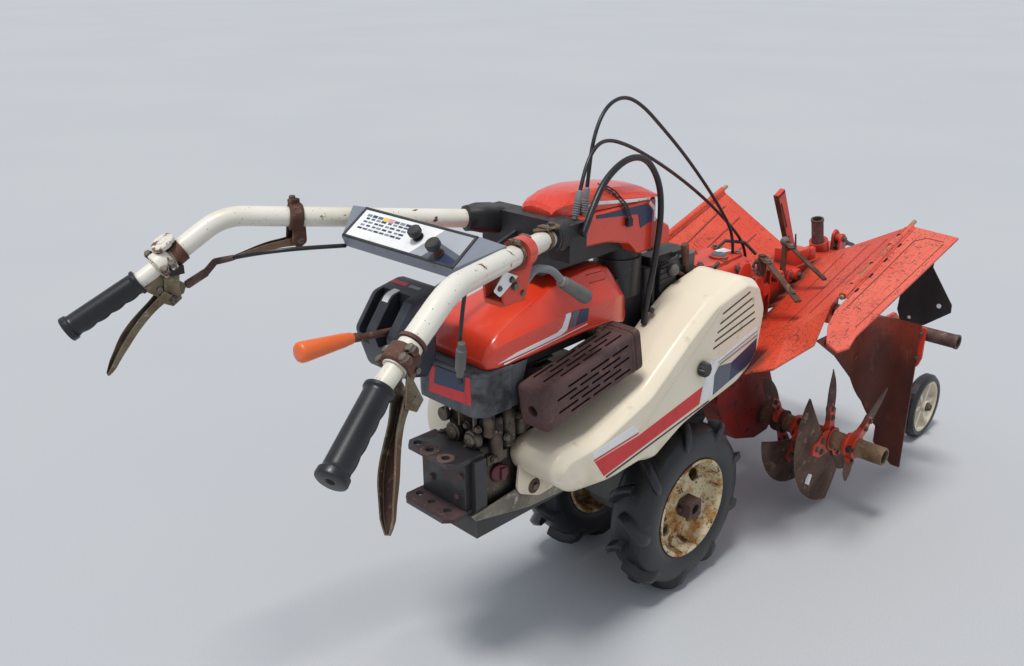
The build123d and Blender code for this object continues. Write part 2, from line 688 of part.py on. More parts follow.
def mouldboard():
    """A curved upright plate that turns the soil outwards behind the rotor."""
    path = FilletPolyline((-480, 140, 0), (-800, 152, 0), (-800, 272, 0), radius=72)
    plate = Pos(0, 0, 15) * extrude(trace(path, line_width=5), amount=405, dir=(0, 0, 1))
    below = [(-495, 434), (-615, 351), (-709, 264), (-768, 181), (-797, 110), (-797, 0), (-400, 0), (-400, 434)]
    plate -= side_plate(below, (100, 300))
    plate -= front_plate([(140, 110), (250, 14), (262, 14), (262, 0), (100, 0), (100, 110)], (-900, -700))
    arm = box((TUBE_X + 6, -802), (196, 216), (TUBE_Z - 24, TUBE_Z + 24))
    arm -= rod((TUBE_X, 100, TUBE_Z), (TUBE_X, 300, TUBE_Z), TUBE_RADIUS + SEAT)
    return plate + arm


def cross_tube():
    solid = rod((TUBE_X, -TUBE_HALF_LENGTH, TUBE_Z), (TUBE_X, TUBE_HALF_LENGTH, TUBE_Z), TUBE_RADIUS)
    for side in (-1, 1):
        start = (TUBE_X, side * (TUBE_HALF_LENGTH - 40), TUBE_Z)
        solid -= rod(start, (TUBE_X, side * (TUBE_HALF_LENGTH + 5), TUBE_Z), 13.5)
    return solid


def gauge_arm():
    """The bent flat bar from the cross tube back and down to the gauge wheel."""
    inner = GAUGE_Y - GAUGE_WIDTH / 2 - 14
    outline = [
        (TUBE_X + 26, TUBE_Z + 26), (TUBE_X - 26, TUBE_Z + 26), (-972, 322), (GAUGE_X - 16, GAUGE_RADIUS - 14),
        (GAUGE_X + 14, GAUGE_RADIUS - 18), (-944, 300), (TUBE_X - 20, TUBE_Z - 28), (TUBE_X + 26, TUBE_Z - 28),
    ]
    arm = side_plate(outline, (inner - 8, inner))
    arm -= rod((TUBE_X, 0, TUBE_Z), (TUBE_X, 300, TUBE_Z), TUBE_RADIUS + SEAT)
    pin = rod((GAUGE_X, inner - 8, GAUGE_RADIUS), (GAUGE_X, GAUGE_Y + 24, GAUGE_RADIUS), GAUGE_AXLE_RADIUS)
    return arm + pin


def gauge_rim():
    half = GAUGE_WIDTH / 2
    ring = rod((0, -half + 3, 0), (0, half - 3, 0), GAUGE_RIM_RADIUS)
    ring -= rod((0, -half, 0), (0, half, 0), GAUGE_RIM_RADIUS - 7)
    ring += rod((0, -half, 0), (0, half, 0), 17)
    for number in range(SPOKE_COUNT):
        spoke = box((10, GAUGE_RIM_RADIUS - 3), (-6, 6), (-5, 5))
        ring += Rot(0, 360 / SPOKE_COUNT * number, 0) * spoke
    return ring - rod((0, -30, 0), (0, 30, 0), GAUGE_AXLE_RADIUS + RUNNING)


def gauge_tyre():
    half = GAUGE_WIDTH / 2
    bands = [(half, GAUGE_RADIUS - 8), (half - 9, GAUGE_RADIUS)]
    return flat_ring([(-y, r) for y, r in bands] + bands[::-1], GAUGE_RIM_RADIUS + SEAT, TYRE_SIDES)


# Rotor, drawn about Y at the origin
def crescent():
    """A wide sickle blade, its outer edge ahead."""
    edge = ThreePointArc((118, 146), (134, -14), (-26, -BLADE_REACH + 2))
    back = Line((-26, -BLADE_REACH + 2), (-66, -112))
    inner = ThreePointArc((-66, -112), (52, 12), (118, 146))
    return make_face([edge, back, inner])


def leaf():
    """A narrow pointed blade."""
    edge = ThreePointArc((-22, 28), (-34, 110), (0, BLADE_REACH))
    back = ThreePointArc((0, BLADE_REACH), (30, 104), (18, 28))
    root = Line((18, 28), (-22, 28))
    return make_face([edge, back, root])


# Blades on the near side: place along the shaft, angle and shape
BLADES = (
    (76, 200, "leaf"), (76, 20, "leaf"), (132, 42, "crescent"), (132, 222, "crescent"),
    (206, 0, "crescent"), (206, 8, "leaf"), (206, 180, "crescent"), (268, -60, "leaf"), (268, 120, "leaf"),
)


def blade(kind):
    face = crescent() if kind == "crescent" else leaf()
    solid = extrude(face, amount=BLADE_THICKNESS, dir=(0, 0, 1))
    return Plane(origin=(0, BLADE_THICKNESS / 2, 0), x_dir=(1, 0, 0), z_dir=(0, -1, 0)) * solid


def blades(side):
    solid = Part()
    for y, angle, kind in BLADES:
        turned = angle if side > 0 else angle + 90
        solid += Pos(0, side * y, 0) * Rot(0, turned, 0) * blade(kind)
    bore = rod((0, -400, 0), (0, 400, 0), ROTOR_TUBE_RADIUS + 8 + SEAT)
    return Pos(ROTOR_X, 0, ROTOR_Z) * (solid - bore)


def rotor_shaft():
    solid = rod((0, -ROTOR_HALF_LENGTH, 0), (0, ROTOR_HALF_LENGTH, 0), ROTOR_SHAFT_RADIUS)
    for y, angle, kind in BLADES:
        for side, extra in ((1, 0), (-1, 90)):
            if kind == "crescent":
                face = y + BLADE_THICKNESS / 2
                holder = box((20, 84), tuple(sorted((side * (face + 0.2), side * (face + 8)))), (-20, 20))
                solid += Rot(0, angle + extra, 0) * holder
    for side in (-1, 1):
        inner = side * (LEG_HALF_WIDTH + 0.5)
        solid += rod((0, inner, 0), (0, side * ROTOR_HALF_LENGTH, 0), ROTOR_TUBE_RADIUS)
        for y in sorted({row[0] for row in BLADES}):
            solid += rod((0, side * (y - 16), 0), (0, side * (y + 16), 0), ROTOR_TUBE_RADIUS + 8)
    return Pos(ROTOR_X, 0, ROTOR_Z) * solid


# Handle, drawn straight ahead and turned at the end
BASE_TOP = 790
BASE_FRONT = 300
BASE_LID = 866 + SEAT


def handle_base():
    """The black yoke that turns on the post and holds both bars."""
    base = rod((PIVOT_X, 0, POST_TOP + SEAT), (PIVOT_X, 0, BASE_TOP), POST_RADIUS - 4)
    base += box((PIVOT_X, 345), (-40, 40), (BASE_TOP - 26, 812))
    base += box((BASE_FRONT, 345), (-104, 104), (800, BASE_LID - SEAT))
    for side in (-1, 1):
        root = (BAR_ROOT[0], side * BAR_ROOT[1], BAR_ROOT[2])
        boot = (BAR_BOOT[0], side * BAR_BOOT[1], BAR_BOOT[2])
        base += rod(root, boot, 23)
        base -= rod(along(root, boot, 0.3), along(root, boot, 1.3), BAR_RADIUS + SEAT)
    return base


def bar():
    start = along(BAR_ROOT, BAR_BOOT, 0.32)
    neck = along(BAR_BEND, GRIP_INNER, 0.8)
    solid = bent_tube([start, BAR_KNEE, BAR_BEND, neck], [70, 95], BAR_RADIUS)
    core = rod(along(BAR_BEND, GRIP_INNER, 0.75), GRIP_INNER, GRIP_CORE_RADIUS + 1)
    core += rod(GRIP_INNER, along(GRIP_INNER, GRIP_OUTER, 0.93), GRIP_CORE_RADIUS)
    return solid + core


def grip():
    solid = rod(GRIP_INNER, GRIP_OUTER, GRIP_RADIUS)
    solid += rod(GRIP_INNER, along(GRIP_INNER, GRIP_OUTER, 0.05), GRIP_RADIUS + 4)
    core = rod(along(GRIP_INNER, GRIP_OUTER, -0.5), along(GRIP_INNER, GRIP_OUTER, 0.94), GRIP_CORE_RADIUS + 1 + SEAT)
    return solid - core


LEVER_ROOT = (868, 287, 790)
LEVER_HALF_WIDTH = 14
LEVER_BOW = 24


def side_lever(tip):
    """The rusty clamp beside a grip and the blade that hangs from it, bowed towards the grip."""
    spot = along(BAR_BEND, GRIP_INNER, 0.62)
    ahead = along(BAR_BEND, GRIP_INNER, 0.8)
    solid = rod(spot, ahead, BAR_RADIUS + 5)
    solid += Pos(866, 281, 800) * Rot(0, 30, 0) * Box(46, 30, 44)
    root = Vector(*LEVER_ROOT)
    line = Vector(*tip) - root
    outer = ThreePointArc((0, LEVER_HALF_WIDTH), (line.length / 2, LEVER_BOW), (line.length, 4))
    inner = ThreePointArc((line.length, -4), (line.length / 2, -2), (0, -LEVER_HALF_WIDTH))
    face = make_face([outer, Line(outer @ 1, inner @ 0), inner, Line(inner @ 1, outer @ 0)])
    grip_line = Vector(*GRIP_OUTER) - Vector(*GRIP_INNER)
    normal = line.cross(grip_line)
    blade_solid = Plane(origin=root, x_dir=line, z_dir=normal) * Pos(0, 0, -2.5) * extrude(face, amount=5, dir=(0, 0, 1))
    return solid + blade_solid - rod(BAR_BEND, along(BAR_BEND, GRIP_INNER, 1.2), BAR_RADIUS + SEAT)


CONSOLE_HALF_WIDTH = 131
CONSOLE_TOP = (584, 903)
CONSOLE_FOOT = (639, 866)
CONSOLE_UNDER = 848


def console_face(x):
    """The height of the console's face, which slopes down to the user."""
    share = (x - CONSOLE_TOP[0]) / (CONSOLE_FOOT[0] - CONSOLE_TOP[0])
    return CONSOLE_TOP[1] + (CONSOLE_FOOT[1] - CONSOLE_TOP[1]) * share


def console():
    """The grey panel between the bars, with a flat wing on each side that lies on a bar."""
    outline = [CONSOLE_TOP, CONSOLE_FOOT, (632, CONSOLE_UNDER), (566, CONSOLE_UNDER), (552, 880)]
    body = side_plate(outline, (-CONSOLE_HALF_WIDTH, CONSOLE_HALF_WIDTH))
    edge = CONSOLE_HALF_WIDTH - 1
    wing = sheet([
        (CONSOLE_TOP[0], edge, CONSOLE_TOP[1]), (CONSOLE_FOOT[0], edge, CONSOLE_FOOT[1]),
        (WING_TIP_X, bar_middle(WING_TIP_X)[1], bar_middle(WING_TIP_X)[2] + BAR_RADIUS + SHEET),
    ])
    body += wing + flipped(wing)
    lower = rod(BAR_BOOT, BAR_BEND, BAR_RADIUS + SEAT)
    return body - lower - flipped(lower)


WING_TIP_X = 576


def bar_middle(x):
    """The point on the left bar's axis at a place between its boot and its bend."""
    return along(BAR_KNEE, BAR_BEND, (x - BAR_KNEE[0]) / (BAR_BEND[0] - BAR_KNEE[0]))


# Knobs on the console: place, how far they stand out, and radius
KNOBS = ((602, 22, 26, 11), (618, 84, 34, 12))


def console_knobs():
    fall = Vector(CONSOLE_FOOT[0] - CONSOLE_TOP[0], 0, CONSOLE_FOOT[1] - CONSOLE_TOP[1])
    normal = Vector(-fall.Z, 0, fall.X).normalized()
    solid = Part()
    for x, y, height, radius in KNOBS:
        start = Vector(x, y, console_face(x)) + normal * SEAT
        collar = start + normal * (height - 11)
        solid += rod(tuple(start), tuple(collar + normal), radius * 0.6)
        solid += rod(tuple(collar), tuple(start + normal * height), radius)
    return solid


GATE_SIDES = (-112, -8)
GATE_SLOT = (-52, -32)
STRUT_THICKNESS = 6


def lever_gate():
    """The black slotted gate for the orange lever, on a strut from the handle's base."""
    outline = [(500, 758), (540, 781), (600, 770), (643, 714), (619, 641), (570, 628), (548, 660), (548, 735)]
    body = side_plate(outline, GATE_SIDES)
    body = fillet(body.edges().filter_by(Axis.Y), 7)
    body -= box((590, 700), GATE_SLOT, (690, 800))
    body -= box((590, 700), (-96, -78), (690, 800))
    strut = [(345 + SEAT, 806), (345 + SEAT, 836), (540, 778), (540, 752)]
    return body + side_plate(strut, (GATE_SIDES[1] - STRUT_THICKNESS - 10, GATE_SIDES[1] - 10))


def clutch_lever():
    """The orange grip on its rod, thicker towards its end."""
    middle = sum(GATE_SLOT) / 2
    root, neck, end = (590 + SEAT, middle, 715), (706, middle, 730), (805, middle, 735)
    line = Vector(*end) - Vector(*neck)
    handle = Cone(9, 14.5, line.length, align=(Align.CENTER, Align.CENTER, Align.MIN))
    handle = fillet(handle.edges().sort_by(Axis.Z)[-1], 5)
    return rod(root, along(neck, end, 0.3), 6) + Plane(origin=neck, z_dir=line) * handle


SHIFT_Y = 136


def shift_gate():
    """The red bracket that hangs under the near bar and holds the shift lever."""
    side = [(498, 848), (566, 848), (560, 796), (516, 792)]
    body = side_plate(side, (SHIFT_Y - 22, SHIFT_Y - 17)) + side_plate(side, (SHIFT_Y + 17, SHIFT_Y + 22))
    body += box((498, 566), (SHIFT_Y - 22, SHIFT_Y + 22), (843, 848))
    body += box((512, 562), (SHIFT_Y - 18, SHIFT_Y + 18), (792, 800))
    clamp = rod(bar_middle(508), bar_middle(540), BAR_RADIUS + 8)
    body += clamp - rod(BAR_KNEE, BAR_BEND, BAR_RADIUS + SEAT)
    return body - rod(SHIFT_POINTS[0], SHIFT_POINTS[1], SHIFT_RADIUS + SEAT)


SHIFT_RADIUS = 6
SHIFT_POINTS = [(535, SHIFT_Y, 779), (467, SHIFT_Y, 829), (426, SHIFT_Y, 816), (398, SHIFT_Y, 787)]


def shift_lever():
    """The bent grey rod and its thicker grip."""
    stem = bent_tube([along(*SHIFT_POINTS[:2], 0.2), *SHIFT_POINTS[1:]], [14, 14], SHIFT_RADIUS)
    return stem + rod((399, SHIFT_Y, 788), (334, SHIFT_Y, 744), 12)


def throttle_rod():
    solid = rod((606, CONSOLE_HALF_WIDTH - 5, CONSOLE_UNDER - 1), (600, 100, 700), 4)
    return solid + rod((604, 108, 728), (596, 94, 670), 9)


def base_cover():
    """The red cover over the handle's base: a body with a raised lid that slopes to the back."""
    body = side_plate([
        (0, 756), (104, 754), (130, 780), (262, 800), (BASE_FRONT - SEAT, 842), (BASE_FRONT - SEAT, 860), (52, 860),
        (52, 815), (0, 792),
    ], (-66, 72))
    lid = side_plate([
        (326, BASE_LID), (326, 882), (290, 897), (220, 900), (150, 893), (45, 876), (45, 858), (290, 858),
        (300, BASE_LID),
    ], (-80, 80))
    lid = lid & plan_plate([(326, -30), (326, 42), (150, 72), (45, 76), (45, -72), (150, -70)], (850, 910))
    lid = lid & front_plate(
        [(-80, 850), (80, 850), (80, 876), (46, 890), (0, 900), (-46, 890), (-80, 876)], (40, 330),
    )
    solid = body + lid
    solid -= rod((PIVOT_X, 0, POST_TOP), (PIVOT_X, 0, BASE_TOP + SEAT), POST_RADIUS + 4)
    return solid - box((PIVOT_X - 60, 400), (-40 - SEAT, 40 + SEAT), (700, 812 + SEAT))


def bar_clamp():
    """The rusty clamp on the far bar with its second lever."""
    root = across(BAR_KNEE)
    bend = across(BAR_BEND)
    start, end = along(root, bend, 0.68), along(root, bend, 0.75)
    clamp = rod(start, end, BAR_RADIUS + 7)
    x, y, z = along(root, bend, 0.715)
    body = clamp + box((x - 10, x + 12), (y - 6, y + 6), (z - 44, z + 34))
    body -= rod(root, bend, BAR_RADIUS + 0.4)
    return body + rod((x, y, z - 38), (x + 104, y - 38, z - 54), 6)


CAP_SHARE = 0.6
CAP_RADIUS = 19


def bar_cap():
    """The round cap on a ring round the far bar."""
    bend, inner = across(BAR_BEND), across(GRIP_INNER)
    ring_middle = Vector(*along(bend, inner, CAP_SHARE - 0.06))
    middle = Vector(*along(bend, inner, CAP_SHARE))
    line = Vector(*inner) - Vector(*bend)
    out = Vector(-line.Z, 0, line.X).normalized()
    ring = rod(along(bend, inner, CAP_SHARE - 0.12), along(bend, inner, CAP_SHARE), BAR_RADIUS + 4)
    ring += rod(tuple(ring_middle + out * 12), tuple(ring_middle + out * 28), 9)
    ring -= rod(bend, inner, BAR_RADIUS + SEAT)
    return ring + rod(tuple(middle + out * (BAR_RADIUS + 6)), tuple(middle + out * (BAR_RADIUS + 14)), CAP_RADIUS)


CABLE_RADIUS = 3.5
CABLE_ROUTES = {
    "cable_high": [
        (257, 70, 861.6), (244, 66, 926), (224, 58, 990), (188, 52, 1038), (128, 43, 1052), (66, 37, 1030),
        (-12, 32, 974), (-88, 28.5, 915), (-160, 26, 852), (-227, 24.8, 788), (-281, 24, 729), (-300, 24, 692),
        (-304, 24, 656.2),
    ],
    "cable_low": [
        (306, 92, 868.6), (284, 86, 930), (246, 76, 976), (196, 64, 986), (120, 51, 964), (28, 37, 924),
        (-60, 26, 880), (-145, 18, 832), (-228, 11, 780), (-306, 6, 725), (-368, 2.5, 675), (-396, 0.5, 634),
        (-400, 0, 606.8),
    ],
}
THICK_RADIUS = 6
THICK_ROUTE = [
    (318, 121.5, 846), (290, 116, 886), (240, 103, 930), (176, 99, 956), (112, 92, 944), (66, 88, 892),
    (52, 85, 830), (56, 82, 764), (66, 80, 700), (78, 78, 650), (80, 77, 611),
]


LEVER_ROUTE = [(797, -251, 826), (777, -204, 841), (750, -160, 852), (700, -130, 854), (636, -112, 848)]


def route_radii(points):
    """The arc at each corner: 0.45 of the shorter run, divided by the tangent of half the turn."""
    radii = []
    for before, here, after in zip(points, points[1:], points[2:]):
        first, second = Vector(*here) - Vector(*before), Vector(*after) - Vector(*here)
        half_turn = radians(first.get_angle(second)) / 2
        radii.append(0.45 * min(first.length, second.length) / tan(half_turn))
    return radii


def cable(name, points, radius):
    radii = route_radii(points)
    print(name, "radii", [round(r) for r in radii])
    return bent_tube(points, radii, radius)


def turned(solid):
    """A piece of the handle, swung round with it about the post."""
    pivot = Pos(PIVOT_X, 0, 0)
    return pivot * Rot(0, 0, HANDLE_TURN) * Pos(-PIVOT_X, 0, 0) * solid


NODES = {
    "transmission_case": transmission(),
    "engine_frame": engine_frame(),
    "front_hitch": hitch(),
    "belt_cover_stay": belt_stay(),
    "engine_block": crankcase(),
    "front_shroud": front_shroud(),
    "engine_cover": engine_cover(),
    "starter_housing": fan_cover(),
    "muffler": muffler(),
    "belt_cover": belt_cover(),
    "belt_cover_knob": belt_knob(),
    "handle_post": post(),
    "post_panels": post_panels(),
    "gear_lever": gear_lever(),
    "drive_case": drive_case(),
    "rotor_leg": rotor_leg(),
    "hood_beam": beam(),
    "hood_brackets": hood_brackets(),
    "depth_tube": depth_tube(),
    "hood": hood_half() + flipped(hood_half()),
    "hinge_rods": hinge_rod() + flipped(hinge_rod()),
    "wing_left": wing_plate(),
    "wing_flap": wing_flap(),
    "wing_right": flipped(folded(wing_plate())),
    "mouldboards": mouldboard() + flipped(mouldboard()),
    "cross_tube": cross_tube(),
    "gauge_arm": gauge_arm(),
    "gauge_rim": Pos(GAUGE_X, GAUGE_Y, GAUGE_RADIUS) * gauge_rim(),
    "gauge_tyre": Pos(GAUGE_X, GAUGE_Y, GAUGE_RADIUS) * gauge_tyre(),
    "rotor_shaft": rotor_shaft(),
    "rotor_blades": blades(1) + blades(-1),
    "handle_base": turned(handle_base()),
    "base_cover": turned(base_cover()),
    "handlebars": turned(bar() + flipped(bar())),
    "grips": turned(grip() + flipped(grip())),
    "side_levers": turned(side_lever((943, 333, 652)) + flipped(side_lever((966, 333, 666)))),
    "console": turned(console()),
    "console_knobs": turned(console_knobs()),
    "lever_gate": turned(lever_gate()),
    "clutch_lever": turned(clutch_lever()),
    "shift_gate": turned(shift_gate()),
    "shift_lever": turned(shift_lever()),
    "throttle_rod": turned(throttle_rod()),
    "bar_clamp": turned(bar_clamp()),
    "bar_cap": turned(bar_cap()),
}
for side, name in ((1, "left"), (-1, "right")):
    NODES[f"tyre_{name}"] = on_axle(tyre(), side)
    NODES[f"rim_{name}"] = on_axle(rim(), side)
    NODES[f"hub_{name}"] = on_axle(hub(), side)

CABLES = {name: cable(name, points, CABLE_RADIUS) for name, points in CABLE_ROUTES.items()}
CABLES["cable_thick"] = cable("cable_thick", THICK_ROUTE, THICK_RADIUS)
CABLES["cable_lever"] = cable("cable_lever", LEVER_ROUTE, CABLE_RADIUS)

# The machine's own box, without the cables, gives the origin
whole = Compound(children=[Compound(solid.solids()) for solid in NODES.values()])
middle = whole.bounding_box().center()
SHIFT = (-middle.X, -middle.Y, 0)

if __name__ == "__main__":
    for name, solid in {**NODES, **CABLES}.items():
        export_step(Pos(*SHIFT) * solid, f"parts/{name}.step")
    print("shift", [round(value, 2) for value in SHIFT])
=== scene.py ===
"""Dresses the walk-behind cultivator: finishes, cables, detailed pieces, a camera and plain soft light.

Places are in millimetres from the ground under the axle, with X ahead to the engine, Y to the side of the
belt cover and Z up, and they are turned into the frame's metres when a piece is made.
"""
from math import cos, pi, radians, sin

import bmesh
import bpy
from mathutils import Matrix, Vector
from mathutils.bvhtree import BVHTree


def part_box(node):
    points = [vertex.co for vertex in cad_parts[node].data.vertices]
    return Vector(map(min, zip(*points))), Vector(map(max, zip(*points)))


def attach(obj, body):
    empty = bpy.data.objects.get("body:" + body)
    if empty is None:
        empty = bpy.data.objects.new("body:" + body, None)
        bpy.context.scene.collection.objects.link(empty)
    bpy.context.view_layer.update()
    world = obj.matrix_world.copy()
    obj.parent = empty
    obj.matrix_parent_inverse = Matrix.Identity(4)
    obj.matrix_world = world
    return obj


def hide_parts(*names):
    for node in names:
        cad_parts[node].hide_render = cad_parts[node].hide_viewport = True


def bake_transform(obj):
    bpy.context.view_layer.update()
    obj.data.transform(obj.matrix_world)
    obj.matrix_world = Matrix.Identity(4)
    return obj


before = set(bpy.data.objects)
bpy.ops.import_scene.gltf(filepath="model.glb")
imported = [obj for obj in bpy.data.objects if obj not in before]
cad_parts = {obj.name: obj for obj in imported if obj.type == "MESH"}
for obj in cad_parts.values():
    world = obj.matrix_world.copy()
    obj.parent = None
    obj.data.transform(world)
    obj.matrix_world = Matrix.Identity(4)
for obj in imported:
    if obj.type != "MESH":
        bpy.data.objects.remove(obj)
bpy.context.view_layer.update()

# The machine's own frame: the ground point under the axle, taken from the hubs
left_hub, right_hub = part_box("hub_left"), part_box("hub_right")
AXLE = Vector((
    (left_hub[0].x + left_hub[1].x) / 2,
    (left_hub[1].y + right_hub[0].y) / 2,
    0,
))
PIVOT_X = 75
HANDLE_TURN = 2.0
TO_FRAME = Matrix.Translation(AXLE) @ Matrix.Scale(0.001, 4)
PIVOT = Matrix.Translation((PIVOT_X, 0, 0))
HANDLE = PIVOT @ Matrix.Rotation(radians(HANDLE_TURN), 4, "Z") @ PIVOT.inverted()


# Camera
CAMERA_PLACE = (1511.2, 1164.2, 1296.2)
CAMERA_YAW = 225.502
CAMERA_PITCH = 21.598
CAMERA_ROLL = 0.314
FOCAL_LENGTH = 34.10
SENSOR_WIDTH = 36


def add_camera():
    yaw, pitch, roll = radians(CAMERA_YAW), radians(CAMERA_PITCH), radians(CAMERA_ROLL)
    ahead = Vector((cos(yaw) * cos(pitch), sin(yaw) * cos(pitch), -sin(pitch)))
    level = Vector((sin(yaw), -cos(yaw), 0))
    down = ahead.cross(level)
    right = level * cos(roll) + down * sin(roll)
    up = level * sin(roll) - down * cos(roll)
    turn = Matrix((right, up, -ahead)).transposed().to_4x4()
    data = bpy.data.cameras.new("camera")
    data.lens = FOCAL_LENGTH
    data.sensor_width = SENSOR_WIDTH
    camera = bpy.data.objects.new("camera", data)
    camera.matrix_world = Matrix.Translation(TO_FRAME @ Vector(CAMERA_PLACE)) @ turn
    bpy.context.scene.collection.objects.link(camera)
    bpy.context.scene.camera = camera


add_camera()


def srgb(red, green, blue):
    """A colour written as it looks on a screen, from 0 to 255, as linear values."""
    def linear(value):
        share = value / 255
        return share / 12.92 if share <= 0.04045 else ((share + 0.055) / 1.055) ** 2.4
    return (linear(red), linear(green), linear(blue), 1.0)


class Finish:
    """A finish made of nodes: a base colour, and layers laid over it where a mask says."""

    def __init__(self, name, colour, roughness=0.5, metallic=0.0, coat=0.0, coat_roughness=0.1):
        self.material = bpy.data.materials.new(name)
        self.material.use_nodes = True
        tree = self.material.node_tree
        self.nodes, self.links = tree.nodes, tree.links
        self.shader = self.nodes["Principled BSDF"]
        self.place = self.nodes.new("ShaderNodeTexCoord").outputs["Object"]
        self.shader.inputs["Metallic"].default_value = metallic
        self.shader.inputs["Coat Weight"].default_value = coat
        self.shader.inputs["Coat Roughness"].default_value = coat_roughness
        self.colour, self.roughness = srgb(*colour), roughness

    def put(self, socket, value):
        if isinstance(value, bpy.types.NodeSocket):
            self.links.new(value, socket)
        else:
            socket.default_value = value

    def math(self, operation, first, second=0.0):
        node = self.nodes.new("ShaderNodeMath")
        node.operation = operation
        self.put(node.inputs[0], first)
        self.put(node.inputs[1], second)
        return node.outputs[0]

    def between(self, value, low, high):
        """0 at low and 1 at high, smooth between them."""
        node = self.nodes.new("ShaderNodeMapRange")
        node.interpolation_type = "SMOOTHSTEP"
        self.put(node.inputs["Value"], value)
        node.inputs["From Min"].default_value = low
        node.inputs["From Max"].default_value = high
        return node.outputs["Result"]

    def spot(self, stretch=(1, 1, 1), shift=0.0, turn=(0, 0, 0)):
        """The place on the object, stretched, shifted and turned."""
        node = self.nodes.new("ShaderNodeMapping")
        self.links.new(self.place, node.inputs["Vector"])
        node.inputs["Scale"].default_value = stretch
        node.inputs["Location"].default_value = (shift, shift * 0.7, -shift)
        node.inputs["Rotation"].default_value = [radians(angle) for angle in turn]
        return node.outputs["Vector"]

    def noise(self, scale, detail=4.0, roughness=0.6, swirl=0.0, **where):
        node = self.nodes.new("ShaderNodeTexNoise")
        self.links.new(self.spot(**where), node.inputs["Vector"])
        node.inputs["Scale"].default_value = scale
        node.inputs["Detail"].default_value = detail
        node.inputs["Roughness"].default_value = roughness
        node.inputs["Distortion"].default_value = swirl
        return node.outputs[0]

    def patches(self, scale, low, high, **words):
        return self.between(self.noise(scale, **words), low, high)

    def cells(self, scale, low, high, **where):
        """Small separate spots: 1 inside a spot, 0 outside."""
        node = self.nodes.new("ShaderNodeTexVoronoi")
        self.links.new(self.spot(**where), node.inputs["Vector"])
        node.inputs["Scale"].default_value = scale
        return self.between(node.outputs["Distance"], high, low)

    def scratches(self, scale, width, stretch, **where):
        """Thin lines where a stretched noise crosses its middle value."""
        value = self.noise(scale, detail=3.0, stretch=stretch, **where)
        off = self.math("ABSOLUTE", self.math("SUBTRACT", value, 0.5))
        return self.between(off, width, width * 0.3)

    def hollows(self, reach, low=0.45, high=0.95):
        """1 deep in corners and gaps, where shade falls, and 0 on open surfaces: the mask for painted shade.
        """
        node = self.nodes.new("ShaderNodeAmbientOcclusion")
        node.samples = 6
        node.inputs["Distance"].default_value = reach
        return self.between(node.outputs["AO"], high, low)

    def edges(self, radius, low=0.02, high=0.2):
        """1 along sharp edges."""
        soft = self.nodes.new("ShaderNodeBevel")
        soft.samples = 4
        soft.inputs["Radius"].default_value = radius
        sharp = self.nodes.new("ShaderNodeNewGeometry").outputs["Normal"]
        node = self.nodes.new("ShaderNodeVectorMath")
        node.operation = "DOT_PRODUCT"
        self.links.new(soft.outputs[0], node.inputs[0])
        self.links.new(sharp, node.inputs[1])
        return self.between(self.math("SUBTRACT", 1.0, node.outputs["Value"]), low, high)

    def axis(self, name):
        """The place along one axis, in metres."""
        node = self.nodes.new("ShaderNodeSeparateXYZ")
        self.links.new(self.place, node.inputs[0])
        return node.outputs[name]

    def upward(self, low, high):
        """1 where the surface faces up."""
        node = self.nodes.new("ShaderNodeSeparateXYZ")
        self.links.new(self.nodes.new("ShaderNodeNewGeometry").outputs["Normal"], node.inputs[0])
        return self.between(node.outputs["Z"], low, high)

    def times(self, *masks):
        value = masks[0]
        for mask in masks[1:]:
            value = self.math("MULTIPLY", value, mask)
        return value

    def layer(self, mask, colour, roughness=None):
        """Lays a colour, and a roughness where one is given, over what is there, as far as the mask says."""
        node = self.nodes.new("ShaderNodeMix")
        node.data_type = "RGBA"
        self.put(node.inputs[0], mask)
        self.put(node.inputs[6], self.colour)
        self.put(node.inputs[7], srgb(*colour))
        self.colour = node.outputs[2]
        if roughness is not None:
            node = self.nodes.new("ShaderNodeMix")
            self.put(node.inputs[0], mask)
            self.put(node.inputs[2], self.roughness)
            self.put(node.inputs[3], roughness)
            self.roughness = node.outputs[0]

    def bump(self, height, depth):
        """Raises the surface by a height from 0 to 1, times a depth in metres."""
        node = self.nodes.new("ShaderNodeBump")
        node.inputs["Distance"].default_value = depth
        self.put(node.inputs["Height"], height)
        self.links.new(node.outputs["Normal"], self.shader.inputs["Normal"])

    def done(self):
        self.put(self.shader.inputs["Base Color"], self.colour)
        self.put(self.shader.inputs["Roughness"], self.roughness)
        return self.material


# Finishes
def red_gloss():
    """The clean red paint of the engine's cover and the handle's base, with painted shade in its corners."""
    paint = Finish("red_gloss", (218, 54, 28), roughness=0.34, coat=0.55, coat_roughness=0.12)
    paint.layer(paint.patches(5, 0.35, 0.75, detail=3), (226, 70, 38))
    paint.layer(paint.patches(60, 0.62, 0.72, detail=6), (200, 50, 32), 0.5)
    lines = paint.scratches(14, 0.006, (1, 6, 1))
    paint.layer(paint.times(lines, paint.patches(6, 0.5, 0.6)), (232, 120, 96))
    # Painted shade: a darker red in corners and gaps.
    paint.layer(paint.hollows(0.02, 0.3, 0.8), (120, 30, 24), 0.6)
    paint.bump(paint.noise(90, detail=2), 0.0002)
    return paint.done()


